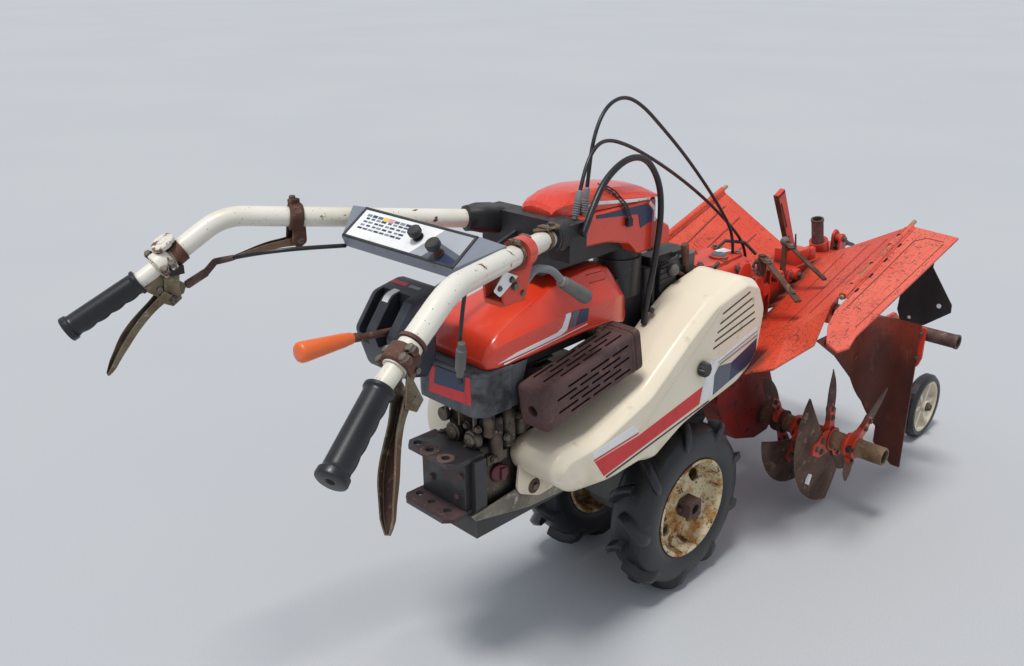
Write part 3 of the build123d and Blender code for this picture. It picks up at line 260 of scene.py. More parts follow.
def red_worn(name="red_worn", tone=(212, 54, 30), grime_and_shade=1.0):
    """Red paint with chips, soil mixed with painted shade in its corners, and rubbed edges."""
    paint = Finish(name, tone, roughness=0.42, coat=0.2)
    paint.layer(paint.patches(7, 0.4, 0.7), (222, 72, 42))
    chips = paint.patches(55, 0.66, 0.7, detail=8, roughness=0.75)
    paint.layer(paint.math("MULTIPLY", chips, grime_and_shade), (74, 44, 36), 0.75)
    paint.layer(paint.times(paint.edges(0.003), paint.patches(40, 0.45, 0.6)), (82, 52, 42), 0.7)
    # Soil mixed with painted shade: a dark brown laid where shade falls in corners, broken up by noise.
    soil = paint.times(paint.hollows(0.035), paint.patches(12, 0.25, 0.6))
    paint.layer(paint.math("MULTIPLY", soil, 0.9 * grime_and_shade), (66, 44, 34), 0.85)
    paint.bump(paint.noise(70, detail=5), 0.0005)
    return paint.done()


def red_scratched():
    """The hood's paint: faded, with dark scratches, stains and painted shade in its hollows."""
    paint = Finish("red_scratched", (212, 66, 40), roughness=0.48, coat=0.1)
    paint.layer(paint.patches(6, 0.35, 0.7), (222, 86, 56))
    lines = paint.scratches(9, 0.012, (1, 7, 1), turn=(0, 0, 25))
    cross = paint.scratches(8, 0.010, (6, 1, 1), shift=4.0, turn=(0, 0, 40))
    worn = paint.patches(9, 0.45, 0.62, detail=6)
    paint.layer(paint.times(lines, worn), (96, 48, 38), 0.7)
    paint.layer(paint.times(cross, worn), (104, 52, 40), 0.7)
    paint.layer(paint.cells(150, 0.12, 0.3), (112, 56, 44))
    paint.layer(paint.patches(90, 0.63, 0.68, detail=7), (86, 48, 40), 0.75)
    paint.layer(paint.times(paint.edges(0.003), paint.patches(40, 0.45, 0.6)), (86, 54, 44), 0.7)
    # Painted shade: a dark brown in hollows, broken up by noise.
    paint.layer(paint.times(paint.hollows(0.04), paint.patches(10, 0.2, 0.6)), (84, 52, 40), 0.85)
    paint.bump(paint.noise(60, detail=5), 0.0006)
    return paint.done()


def red_faded():
    """The wing plates' paint: faded to pink, with dense dark speckles."""
    paint = Finish("red_faded", (212, 84, 64), roughness=0.55)
    paint.layer(paint.patches(5, 0.35, 0.7), (222, 104, 84))
    fine = paint.cells(210, 0.16, 0.34, stretch=(1, 0.55, 1), turn=(0, 0, 35))
    large = paint.cells(95, 0.12, 0.3, stretch=(1, 0.5, 1), shift=2.0, turn=(0, 0, 50))
    paint.layer(paint.times(fine, paint.patches(26, 0.35, 0.6)), (128, 62, 52), 0.7)
    paint.layer(paint.times(large, paint.patches(18, 0.4, 0.6)), (112, 54, 46), 0.7)
    paint.layer(paint.scratches(11, 0.010, (1, 6, 1), turn=(0, 0, 30)), (122, 62, 52))
    paint.layer(paint.edges(0.003, 0.05, 0.3), (190, 44, 30))
    paint.bump(fine, 0.0003)
    return paint.done()


def dark_red():
    """The rotor's gear case: dull red under soil, with painted shade in its hollows."""
    paint = Finish("dark_red", (150, 36, 26), roughness=0.55)
    paint.layer(paint.patches(9, 0.35, 0.65), (116, 34, 26), 0.7)
    paint.layer(paint.patches(40, 0.6, 0.68, detail=7), (58, 34, 28), 0.85)
    # Painted shade: a dark brown in hollows, broken up by noise.
    paint.layer(paint.times(paint.hollows(0.05), paint.patches(14, 0.2, 0.6)), (62, 38, 30), 0.9)
    paint.bump(paint.noise(50, detail=6), 0.0009)
    return paint.done()


def cream():
    """The belt cover's satin cream, a little darker towards the bottom, with painted shade in its corners."""
    paint = Finish("cream", (233, 221, 196), roughness=0.4, coat=0.15, coat_roughness=0.2)
    paint.layer(paint.patches(4, 0.3, 0.75, detail=2), (240, 229, 206))
    paint.layer(paint.patches(26, 0.6, 0.75, detail=6), (205, 192, 166), 0.55)
    # Painted shade: a darker cream in corners and gaps.
    paint.layer(paint.hollows(0.03, 0.35, 0.85), (168, 152, 124), 0.6)
    # A little darker towards the bottom, broken up by noise.
    low = paint.times(paint.between(paint.axis("Z"), 0.5, 0.38), paint.patches(18, 0.35, 0.7))
    paint.layer(paint.math("MULTIPLY", low, 0.5), (186, 168, 136), 0.6)
    paint.bump(paint.noise(140, detail=2), 0.00015)
    return paint.done()


def white_bar():
    """The handlebars: white paint with brown chips, and a painted brownish shade in corners."""
    paint = Finish("white_bar", (229, 225, 212), roughness=0.36, coat=0.3)
    paint.layer(paint.patches(8, 0.45, 0.75), (214, 207, 188))
    chips = paint.patches(34, 0.665, 0.685, detail=6, stretch=(1, 1, 1.4))
    paint.layer(paint.patches(34, 0.64, 0.68, detail=6, stretch=(1, 1, 1.4)), (176, 142, 104), 0.6)
    paint.layer(chips, (92, 62, 44), 0.8)
    paint.layer(paint.cells(120, 0.06, 0.14, shift=3.0), (120, 84, 58), 0.7)
    # Painted shade: a brownish darkening in corners and gaps.
    paint.layer(paint.hollows(0.02, 0.3, 0.75), (142, 112, 82), 0.7)
    paint.bump(chips, -0.0006)
    return paint.done()


def white_cap():
    """The round cap: white with a rusty middle and rim."""
    paint = Finish("white_cap", (222, 217, 204), roughness=0.4)
    paint.layer(paint.patches(60, 0.52, 0.6, detail=6), (120, 78, 54), 0.75)
    paint.layer(paint.edges(0.002, 0.05, 0.3), (104, 66, 46), 0.8)
    paint.bump(paint.noise(120, detail=5), 0.0004)
    return paint.done()


def rust(name, dark, mid, light, metallic=0.15, grain=55):
    """Rusty steel in three tones, with a rough skin and painted shade in its hollows."""
    skin = Finish(name, mid, roughness=0.72, metallic=metallic)
    skin.layer(skin.patches(grain * 0.25, 0.38, 0.66, detail=6, swirl=0.6), dark, 0.82)
    skin.layer(skin.patches(grain, 0.55, 0.68, detail=8, roughness=0.7, shift=3.0), light, 0.6)
    skin.layer(skin.cells(grain * 4, 0.08, 0.24, shift=6.0), dark, 0.9)
    skin.layer(skin.edges(0.002, 0.05, 0.35), light, 0.5)
    # Painted shade: the dark tone made darker in hollows.
    skin.layer(skin.hollows(0.02, 0.3, 0.8), [channel * 0.55 for channel in dark], 0.9)
    skin.bump(skin.noise(grain * 3, detail=7, roughness=0.7), 0.0007)
    return skin.done()


def mouldboard_steel():
    """Dark red-brown steel, with red paint left near its top and streaks from the soil."""
    skin = Finish("mouldboard_steel", (98, 48, 36), roughness=0.58, metallic=0.1)
    skin.layer(skin.patches(5, 0.38, 0.66, detail=5, stretch=(1, 1, 0.5)), (70, 34, 28), 0.65)
    high = skin.between(skin.axis("Z"), 0.26, 0.42)
    skin.layer(skin.times(high, skin.patches(9, 0.35, 0.62, detail=6)), (142, 58, 40), 0.5)
    skin.layer(skin.patches(28, 0.56, 0.68, detail=8, stretch=(1, 1, 0.35)), (124, 66, 46), 0.6)
    skin.layer(skin.cells(130, 0.08, 0.22), (60, 30, 24), 0.8)
    skin.layer(skin.edges(0.002, 0.05, 0.35), (128, 78, 58), 0.5)
    skin.bump(skin.noise(90, detail=6), 0.0005)
    return skin.done()


def black_iron(name="black_iron", rusted=1.0):
    """Black paint over steel, with purple-brown rust where it has worn, and painted shade in its hollows."""
    skin = Finish(name, (40, 40, 43), roughness=0.42, coat=0.15)
    skin.layer(skin.patches(10, 0.4, 0.7), (54, 54, 57))
    worn = skin.patches(16, 0.5, 0.6, detail=7, shift=1.3)
    skin.layer(skin.math("MULTIPLY", worn, rusted), (66, 52, 52), 0.7)
    skin.layer(skin.times(skin.edges(0.003), skin.patches(30, 0.35, 0.6)), (104, 72, 62), 0.7)
    skin.layer(skin.cells(90, 0.07, 0.2), (96, 66, 54), 0.8)
    # Painted shade: a darker black in hollows.
    skin.layer(skin.hollows(0.03), (26, 24, 24), 0.85)
    skin.bump(skin.noise(80, detail=5), 0.0004)
    return skin.done()


def alloy():
    """The open engine: grey-brown castings under oil and soil, with painted shade in their hollows."""
    skin = Finish("engine_alloy", (122, 112, 99), roughness=0.62, metallic=0.25)
    skin.layer(skin.patches(14, 0.38, 0.66, detail=7), (92, 76, 60), 0.8)
    skin.layer(skin.patches(34, 0.55, 0.66, detail=8, shift=2.0), (64, 54, 46), 0.85)
    skin.layer(skin.cells(70, 0.08, 0.24, shift=5.0), (150, 142, 128), 0.5)
    # Painted shade: a dark brown in hollows.
    skin.layer(skin.hollows(0.03), (36, 30, 26), 0.9)
    skin.bump(skin.noise(60, detail=7), 0.0009)
    return skin.done()


def grey_shroud():
    """The dark grey shroud, wiped clean in streaks, with painted shade in its hollows."""
    skin = Finish("grey_shroud", (74, 76, 80), roughness=0.5, metallic=0.2)
    skin.layer(skin.patches(10, 0.4, 0.7, stretch=(1, 1, 0.35), swirl=1.0), (104, 106, 110), 0.4)
    skin.layer(skin.patches(13, 0.5, 0.64, detail=7, shift=2.0), (50, 50, 52), 0.7)
    # Painted shade: a darker grey in hollows.
    skin.layer(skin.hollows(0.03), (34, 33, 33), 0.85)
    skin.bump(skin.noise(50, detail=5), 0.0005)
    return skin.done()


def plastic(name, colour, roughness=0.5, dust=0.35, coat=0.0):
    """Moulded plastic with a fine grain, dust on what faces up, and painted shade in its hollows."""
    skin = Finish(name, colour, roughness=roughness, coat=coat)
    lighter = [min(255, channel + 16) for channel in colour]
    skin.layer(skin.patches(9, 0.4, 0.7), lighter)
    dusty = skin.times(skin.upward(0.2, 0.95), skin.patches(30, 0.35, 0.7, detail=6))
    skin.layer(skin.math("MULTIPLY", dusty, dust), (132, 124, 112), 0.8)
    skin.layer(skin.scratches(16, 0.006, (1, 5, 1)), lighter, roughness)
    # Painted shade: the colour at half strength in hollows.
    skin.layer(skin.hollows(0.015, 0.3, 0.8), [channel * 0.5 for channel in colour])
    skin.bump(skin.noise(700, detail=2), 0.00012)
    return skin.done()


def tyre_black():
    """Tyre rubber: near black, with a dull bloom, dust, and painted shade between the lugs."""
    skin = Finish("tyre_black", (24, 25, 29), roughness=0.36, coat=0.1)
    skin.layer(skin.patches(9, 0.4, 0.72), (36, 37, 41), 0.5)
    skin.layer(skin.patches(48, 0.6, 0.72, detail=6, shift=3.0), (62, 59, 55), 0.75)
    # Painted shade: a near black between the lugs and in other hollows.
    skin.layer(skin.hollows(0.04, 0.3, 0.8), (24, 24, 26), 0.8)
    skin.layer(skin.times(skin.edges(0.004), skin.patches(26, 0.4, 0.65)), (70, 70, 74), 0.5)
    skin.bump(skin.noise(240, detail=4), 0.0003)
    return skin.done()


def rim_rust():
    """The wheels' cream paint, half eaten by brown rust, with painted shade in its hollows."""
    skin = Finish("rim_rust", (214, 200, 164), roughness=0.48)
    skin.layer(skin.patches(18, 0.44, 0.6, detail=7, roughness=0.7), (176, 130, 66), 0.7)
    skin.layer(skin.patches(30, 0.5, 0.6, detail=8, roughness=0.72, shift=2.0), (126, 78, 34), 0.85)
    skin.layer(skin.patches(42, 0.6, 0.66, detail=8, shift=5.0), (72, 46, 28), 0.9)
    skin.layer(skin.cells(120, 0.08, 0.24), (104, 64, 32), 0.9)
    # Painted shade: a dark brown in hollows.
    skin.layer(skin.hollows(0.03, 0.3, 0.8), (74, 46, 28), 0.9)
    skin.bump(skin.noise(130, detail=7), 0.0006)
    return skin.done()


def orange():
    """The orange grip: soft plastic that lets a little light in."""
    skin = Finish("orange_plastic", (232, 108, 48), roughness=0.38, coat=0.2)
    skin.shader.inputs["Subsurface Weight"].default_value = 0.15
    skin.shader.inputs["Subsurface Radius"].default_value = (0.008, 0.003, 0.001)
    skin.layer(skin.patches(30, 0.55, 0.75, detail=5), (214, 92, 44), 0.5)
    skin.layer(skin.edges(0.004, 0.05, 0.4), (244, 150, 96))
    skin.bump(skin.noise(200, detail=3), 0.0002)
    return skin.done()


def cable_black():
    """The cables' black sleeves."""
    skin = Finish("cable_black", (24, 24, 27), roughness=0.36)
    skin.layer(skin.patches(40, 0.45, 0.7), (40, 40, 43), 0.5)
    skin.bump(skin.noise(500, detail=2), 0.0001)
    return skin.done()


def plain(name, colour, roughness=0.45, metallic=0.0, coat=0.0):
    """A printed or painted tone, with slight soiling so that it isn't flat."""
    skin = Finish(name, colour, roughness=roughness, metallic=metallic, coat=coat)
    soiled = [channel * 0.86 for channel in colour]
    skin.layer(skin.patches(40, 0.55, 0.75, detail=6), soiled, roughness + 0.1)
    skin.layer(skin.patches(7, 0.4, 0.7), [min(255, channel + 8) for channel in colour])
    skin.bump(skin.noise(300, detail=2), 0.0001)
    return skin.done()


FINISH = {
    "red_gloss": red_gloss(),
    "red_worn": red_worn(),
    "red_scratched": red_scratched(),
    "red_faded": red_faded(),
    "dark_red": dark_red(),
    "cream": cream(),
    "white_bar": white_bar(),
    "white_cap": white_cap(),
    "muffler": rust("muffler_rust", (72, 52, 51), (94, 68, 66), (112, 74, 58), metallic=0.0, grain=40),
    "lever_rust": rust("lever_rust", (86, 60, 46), (124, 96, 74), (168, 150, 124), metallic=0.3),
    "brown_rust": rust("brown_rust", (72, 46, 38), (104, 70, 56), (134, 96, 76)),
    "blade_steel": rust("blade_steel", (76, 56, 48), (108, 84, 72), (148, 122, 102), metallic=0.3, grain=40),
    "tube_steel": rust("tube_steel", (104, 80, 60), (140, 116, 92), (166, 144, 116), metallic=0.3, grain=48),
    "purple_steel": rust("purple_steel", (82, 60, 56), (104, 80, 74), (132, 112, 100), metallic=0.25),
    "mouldboard": mouldboard_steel(),
    "black_iron": black_iron(),
    "black_paint": black_iron("black_paint", 0.35),
    "alloy": alloy(),
    "shroud": grey_shroud(),
    "grey_plastic": plastic("grey_plastic", (84, 86, 88)),
    "lever_grey": plastic("lever_grey", (116, 118, 120), 0.42, 0.2),
    "dark_plastic": plastic("dark_plastic", (38, 42, 50), 0.42, 0.15),
    "black_plastic": plastic("black_plastic", (30, 31, 34), 0.48, 0.2),
    "case_grey": plastic("case_grey", (92, 90, 86), 0.6, 0.6),
    "grip_rubber": plastic("grip_rubber", (9, 12, 20), 0.36, 0.02, 0.05),
    "flap_rubber": plastic("flap_rubber", (26, 27, 29), 0.6, 0.3),
    "tyre": tyre_black(),
    "rim": rim_rust(),
    "gauge_cream": plain("gauge_cream", (226, 217, 194), 0.45),
    "orange": orange(),
    "cable": cable_black(),
    "console": plain("console_silver", (178, 182, 188), 0.35, 0.3),
    "panel_grey": plain("panel_grey", (116, 122, 134), 0.4),
    "panel_white": plain("panel_white", (222, 226, 230), 0.35, coat=0.2),
    "print_white": plain("print_white", (232, 233, 232), 0.4),
    "print_red": plain("print_red", (208, 38, 40), 0.4),
    "print_navy": plain("print_navy", (42, 54, 84), 0.4),
    "print_slate": plain("print_slate", (84, 92, 104), 0.4),
    "print_grey": plain("print_grey", (128, 132, 138), 0.4),
    "print_dark": plain("print_dark", (40, 42, 50), 0.45),
    "pale_plate": rust(
        "pale_plate", (118, 112, 98), (158, 152, 138), (186, 182, 170), metallic=0.4, grain=30,
    ),
    "wire": plain("brass_wire", (176, 152, 110), 0.4, 0.5),
    "bolt": rust("bolt_steel", (86, 76, 68), (128, 118, 106), (164, 154, 140), metallic=0.5, grain=90),
    # Painted shade: a near black laid on the walls of cut slots and holes, and on plugs in open ends.
    "hole_shade": plain("painted_hole_shade", (16, 15, 15), 0.9),
    "bracket_rust": rust("bracket_rust", (96, 70, 50), (134, 122, 98), (170, 162, 140), metallic=0.25),
    "plate_rust": rust("plate_rust", (62, 46, 48), (84, 62, 62), (104, 80, 76), metallic=0.2),
    "maroon": plain("maroon_cap", (92, 36, 42), 0.4),
    "red_holder": red_worn("red_holder", (206, 66, 36), 1.3),
    "sun_yellow": plain("print_yellow", (226, 196, 84), 0.4),
    "pale_pink": plain("print_pink", (214, 150, 166), 0.4),
}

NODE_FINISH = {
    "transmission_case": "case_grey", "engine_frame": "black_paint", "front_hitch": "black_iron",
    "belt_cover_stay": "pale_plate", "engine_block": "alloy", "front_shroud": "shroud",
    "engine_cover": "red_gloss", "starter_housing": "cream", "muffler": "muffler", "belt_cover": "cream",
    "belt_cover_knob": "black_plastic", "handle_post": "black_paint", "post_panels": "grey_plastic",
    "gear_lever": "brown_rust", "drive_case": "red_worn", "rotor_leg": "dark_red", "hood_beam": "red_worn",
    "hood_brackets": "red_worn", "depth_tube": "purple_steel", "hood": "red_scratched", "hinge_rods": "wire",
    "wing_left": "red_faded", "wing_flap": "flap_rubber", "wing_right": "red_faded",
    "mouldboards": "mouldboard", "cross_tube": "purple_steel", "gauge_arm": "red_worn",
    "gauge_rim": "gauge_cream", "gauge_tyre": "tyre", "rotor_shaft": "tube_steel",
    "rotor_blades": "blade_steel", "handle_base": "black_plastic", "base_cover": "red_gloss",
    "handlebars": "white_bar", "grips": "grip_rubber", "side_levers": "lever_rust", "console": "panel_grey",
    "console_knobs": "black_plastic", "lever_gate": "dark_plastic", "clutch_lever": "orange",
    "shift_gate": "red_worn", "shift_lever": "lever_grey", "throttle_rod": "black_plastic",
    "bar_clamp": "lever_rust", "bar_cap": "white_cap", "tyre_left": "tyre", "tyre_right": "tyre",
    "rim_left": "rim", "rim_right": "rim", "hub_left": "purple_steel", "hub_right": "purple_steel",
}
for name, finish in NODE_FINISH.items():
    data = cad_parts[name].data
    data.materials.clear()
    data.materials.append(FINISH[finish])


# Shapes
def rounded(points, reach, steps=5):
    """A closed outline whose corners are rounded, starting a given reach before each corner."""
    result = []
    for before, here, after in zip(points[-1:] + points[:-1], points, points[1:] + points[:1]):
        before, here, after = Vector(before), Vector(here), Vector(after)
        first, second = before - here, after - here
        start = here + first.normalized() * min(reach, first.length * 0.48)
        end = here + second.normalized() * min(reach, second.length * 0.48)
        for step in range(steps + 1):
            share = step / steps
            result.append(tuple(start.lerp(here, share).lerp(here.lerp(end, share), share)))
    return result


def inset(points, distance):
    """A closed outline moved inwards by a distance."""
    area = sum(a[0] * b[1] - b[0] * a[1] for a, b in zip(points, points[1:] + points[:1]))
    inward = 1 if area > 0 else -1
    result = []
    for before, here, after in zip(points[-1:] + points[:-1], points, points[1:] + points[:1]):
        first = (Vector(here) - Vector(before)).normalized()
        second = (Vector(after) - Vector(here)).normalized()
        normal = Vector((-first.y, first.x)) * inward
        middle = (normal + Vector((-second.y, second.x)) * inward).normalized()
        result.append(tuple(Vector(here) + middle * distance / max(0.5, middle.dot(normal))))
    return result


def strip(start, end, width):
    """A thin outline from one point to another."""
    start, end = Vector(start), Vector(end)
    ahead = (end - start).normalized()
    side = Vector((-ahead.y, ahead.x)) * width / 2
    return [tuple(start + side), tuple(end + side), tuple(end - side), tuple(start - side)]


def full_turn(count):
    """Angles spread evenly over a full turn."""
    return [2 * pi * number / count for number in range(count)]


def spot(axis, value, point):
    """A point of an outline, placed at a value on the axis that the outline faces."""
    first, second = point
    return {"x": (value, first, second), "y": (first, value, second), "z": (first, second, value)}[axis]


class Shape:
    """Closed forms gathered in millimetres, each with a finish, and made into one piece."""

    def __init__(self, finish, place=None):
        self.mesh = bmesh.new()
        self.finishes = []
        self.place = place or Matrix.Identity(4)
        self.paint(finish)

    def paint(self, finish):
        if finish not in self.finishes:
            self.finishes.append(finish)
        self.current = self.finishes.index(finish)
        return self

    def loft(self, rings, loop=False):
        """Rings with the same number of points, joined in turn."""
        rows = [[self.mesh.verts.new(self.place @ Vector(point)) for point in ring] for ring in rings]
        pairs = list(zip(rows, rows[1:])) + ([(rows[-1], rows[0])] if loop else [])
        faces = []
        for first, second in pairs:
            for a, b in zip(range(len(first)), [*range(1, len(first)), 0]):
                faces.append(self.mesh.faces.new((first[a], first[b], second[b], second[a])))
        if not loop:
            faces.append(self.mesh.faces.new(rows[0][::-1]))
            faces.append(self.mesh.faces.new(rows[-1]))
        for face in faces:
            face.material_index = self.current
        return self

    def shell(self, outline, steps, axis):
        """An outline carried along an axis through steps of place and inset."""
        rings = [inset(outline, amount) if amount else outline for _, amount in steps]
        return self.loft([
            [spot(axis, value, point) for point in ring] for (value, _), ring in zip(steps, rings)
        ])

    def prism(self, outline, low, high, axis):
        return self.shell(outline, [(low, 0), (high, 0)], axis)

    def plate(self, outline, reach, low, high, axis, steps=3):
        """A prism whose outline has rounded corners."""
        return self.prism(rounded(outline, reach, steps), low, high, axis)

    def box(self, x, y, z):
        return self.prism([(x[0], y[0]), (x[1], y[0]), (x[1], y[1]), (x[0], y[1])], z[0], z[1], "z")

    def lathe(self, profile, start, line, sides=40, hollow=False):
        """A profile of (distance along the line, radius), turned round the line."""
        start, ahead = Vector(start), Vector(line).normalized()
        side = ahead.orthogonal().normalized()
        other = ahead.cross(side)
        rings = []
        for distance, radius in profile:
            rings.append([
                start + ahead * distance + (side * cos(turn) + other * sin(turn)) * radius
                for turn in full_turn(sides)
            ])
        return self.loft(rings, loop=hollow)

    def rod(self, start, end, radius):
        line = Vector(end) - Vector(start)
        return self.lathe([(0, radius), (line.length, radius)], start, line, 24)

    def ring(self, section, sides=72):
        """A closed section of (place along Y, radius), turned round the Y axis."""
        rings = [[(r * sin(turn), y, r * cos(turn)) for y, r in section] for turn in full_turn(sides)]
        return self.loft(rings, loop=True)

    def tube(self, points, radius, sides=14):
        """A round tube along points, with no twist."""
        points = [Vector(point) for point in points]
        rings, side = [], None
        for index, point in enumerate(points):
            ahead = (points[min(index + 1, len(points) - 1)] - points[max(index - 1, 0)]).normalized()
            side = (ahead.orthogonal() if side is None else side - ahead * side.dot(ahead)).normalized()
            other = ahead.cross(side)
            rings.append([
                point + (side * cos(turn) + other * sin(turn)) * radius for turn in full_turn(sides)
            ])
        return self.loft(rings)

    def bolt(self, place, line, size=7, height=5):
        """A hexagonal bolt head on a washer."""
        line = Vector(line).normalized()
        self.lathe([(-1, size * 1.15), (1.2, size * 1.15)], place, line, 20)
        return self.lathe([(1, size), (height, size), (height + 1, size * 0.8)], place, line, 6)

    def bolts(self, line, size, height, *places):
        """Bolts of one size in their own finish, after which the finish is the one before."""
        finish = self.finishes[self.current]
        self.paint("bolt")
        for place in places:
            self.bolt(place, line, size, height)
        return self.paint(finish)

    def made(self, name):
        """The forms as an object in the frame's metres, with one material for each finish."""
        bmesh.ops.recalc_face_normals(self.mesh, faces=self.mesh.faces)
        self.mesh.transform(TO_FRAME)
        data = bpy.data.meshes.new(name)
        self.mesh.to_mesh(data)
        self.mesh.free()
        for finish in self.finishes:
            data.materials.append(FINISH[finish])
        piece = bpy.data.objects.new(name, data)
        bpy.context.scene.collection.objects.link(piece)
        return piece

    def make(self, name, body, slot, replaces=(), cuts=None, bevel=0.0, segments=2, sharp=32, crisp=False):
        """The finished piece, on its body, with pockets cut and edges rounded."""
        if cuts:
            first = len(self.finishes)
            self.finishes += cuts.finishes
            for face in cuts.mesh.faces:
                face.material_index += first
        piece = self.made(name)
        if cuts:
            carve(piece, cuts)
        piece.data.shade_smooth()
        piece.data.set_sharp_from_angle(angle=radians(sharp))
        if bevel:
            soft = piece.modifiers.new("edges", "BEVEL")
            soft.width = bevel / 1000
            soft.segments = segments
            soft.limit_method = "ANGLE"
            soft.angle_limit = radians(sharp)
            soft.harden_normals = True
        if crisp:
            even = piece.modifiers.new("even", "WEIGHTED_NORMAL")
            even.weight = 80
            even.keep_sharp = True
        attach(piece, body)
        if replaces:
            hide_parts(*replaces)
        return piece


def carve(piece, cuts):
    """Cuts pockets into a piece; their faces keep the cutter's finish."""
    tool = cuts.made(piece.name + "_cut")
    cut = piece.modifiers.new("cut", "BOOLEAN")
    cut.object = tool
    cut.operation = "DIFFERENCE"
    cut.solver = "EXACT"
    cut.use_self = True
    cut.material_mode = "INDEX"
    bpy.context.view_layer.update()
    graph = bpy.context.evaluated_depsgraph_get()
    result = bpy.data.meshes.new_from_object(piece.evaluated_get(graph), depsgraph=graph)
    result.materials.clear()
    for material in piece.data.materials:
        result.materials.append(material)
    piece.modifiers.clear()
    piece.data = result
    bpy.data.objects.remove(tool)


def split_edges(mesh, step):
    """Splits a flat mesh until no edge is longer than a step."""
    for _ in range(7):
        bmesh.ops.triangulate(mesh, faces=mesh.faces[:])
        edges = [edge for edge in mesh.edges if edge.calc_length() > step]
        if not edges:
            break
        bmesh.ops.subdivide_edges(mesh, edges=edges, cuts=1)


# How deep a print reaches below the surface that it lies on
PRINT_ROOT = 0.8


def wrap(name, target, axis, value, prints, body, slot, place=None, step=6):
    """Thin printed areas pressed onto a piece, seen from a value on an axis.

    Each print is a finish, an outline and how far it stands proud, in millimetres.
    """
    bpy.context.view_layer.update()
    tree = BVHTree.FromObject(target, bpy.context.evaluated_depsgraph_get())
    place = place or Matrix.Identity(4)
    to_target = target.matrix_world.inverted() @ TO_FRAME @ place
    ahead = Vector(spot(axis, -1 if value > 0 else 1, (0, 0)))
    line = (to_target.to_3x3() @ ahead).normalized()
    shape = Shape(prints[0][0])
    to_machine = TO_FRAME.inverted() @ target.matrix_world
    for finish, outline, proud in prints:
        shape.paint(finish)
        flat = bmesh.new()
        flat.faces.new([flat.verts.new((*point, 0)) for point in outline]).normal_update()
        split_edges(flat, step)
        flat.verts.ensure_lookup_table()
        starts = [to_target @ Vector(spot(axis, value, vertex.co[:2])) for vertex in flat.verts]
        hits = [tree.ray_cast(start, line) for start in starts]
        found = [hit[3] for hit in hits if hit[0] is not None]
        usual = sum(found) / len(found)
        rows = []
        for start, hit in zip(starts, hits):
            if hit[0] is None:
                hit = tree.find_nearest(start + line * usual)
            middle, normal = to_machine @ hit[0], (to_machine.to_3x3() @ hit[1]).normalized()
            pair = (middle + normal * proud, middle - normal * PRINT_ROOT)
            rows.append([shape.mesh.verts.new(point) for point in pair])
        faces = []
        for face in flat.faces:
            corners = [vertex.index for vertex in face.verts]
            faces.append(shape.mesh.faces.new([rows[index][0] for index in corners]))
            faces.append(shape.mesh.faces.new([rows[index][1] for index in reversed(corners)]))
        for edge in flat.edges:
            if len(edge.link_faces) == 1:
                first, second = (vertex.index for vertex in edge.verts)
                faces.append(shape.mesh.faces.new(
                    [rows[first][0], rows[second][0], rows[second][1], rows[first][1]]
                ))
        for face in faces:
            face.material_index = shape.current
        flat.free()
    return shape.make(name, body, slot, sharp=50)


# Cables: their points repeat the routes of the part's tubes
CABLE_RADIUS = 3.5
THICK_RADIUS = 6
ROUTES = {
    "cable_high": (CABLE_RADIUS, [
        (257, 70, 861.6), (244, 66, 926), (224, 58, 990), (188, 52, 1038), (128, 43, 1052),
        (66, 37, 1030), (-12, 32, 974), (-88, 28.5, 915), (-160, 26, 852), (-227, 24.8, 788),
        (-281, 24, 729), (-300, 24, 692), (-304, 24, 656.2),
    ]),
    "cable_low": (CABLE_RADIUS, [
        (306, 92, 868.6), (284, 86, 930), (246, 76, 976), (196, 64, 986), (120, 51, 964), (28, 37, 924),
        (-60, 26, 880), (-145, 18, 832), (-228, 11, 780), (-306, 6, 725), (-368, 2.5, 675), (-396, 0.5, 634),
        (-400, 0, 606.8),
    ]),
    "cable_thick": (THICK_RADIUS, [
        (318, 121.5, 846), (290, 116, 886), (240, 103, 930), (176, 99, 956), (112, 92, 944), (66, 88, 892),
        (52, 85, 830), (56, 82, 764), (66, 80, 700), (78, 78, 650), (80, 77, 611),
    ]),
    "cable_lever": (CABLE_RADIUS, [
        (797, -251, 826), (777, -204, 841), (750, -160, 852), (700, -130, 854), (636, -112, 848),
    ]),
}


def route_curve(name, points):
    """A smooth line that follows a route's points, in metres."""
    data = bpy.data.curves.new(name + "_line", "CURVE")
    data.dimensions = "3D"
    data.resolution_u = 12
    spline = data.splines.new("NURBS")
    spline.points.add(len(points) - 1)
    for control, point in zip(spline.points, points):
        control.co = (*(TO_FRAME @ Vector(point)), 1)
    spline.order_u = 3
    spline.use_endpoint_u = True
    line = bpy.data.objects.new(name + "_line", data)
    bpy.context.scene.collection.objects.link(line)
    return line


def line_points(line):
    """The points that a route's smooth line runs through."""
    bpy.context.view_layer.update()
    evaluated = line.evaluated_get(bpy.context.evaluated_depsgraph_get())
    mesh = bpy.data.meshes.new_from_object(evaluated)
    points = [vertex.co.copy() for vertex in mesh.vertices]
    bpy.data.meshes.remove(mesh)
    return points


def add_cable(node):
    radius, points = ROUTES[node]
    line = route_curve(node, points)
    path = line_points(line)
    bpy.data.objects.remove(line)
    to_machine = TO_FRAME.inverted()
    piece = Shape("cable").tube([to_machine @ point for point in path], radius).made(node + "_tube")
    piece.data.shade_smooth()
    length = sum((after - before).length for before, after in zip(path, path[1:]))
    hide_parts(node)
    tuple(path[0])
    if node == "cable_lever":
        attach(piece, "handle")
    else:
        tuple(path[0])
        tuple(path[-1])
        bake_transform(piece)


for cable_node in ROUTES:
    add_cable(cable_node)


# Wheels
TYRE_RADIUS = 195
HALF_TRACK = 124
LUG_COUNT = 9
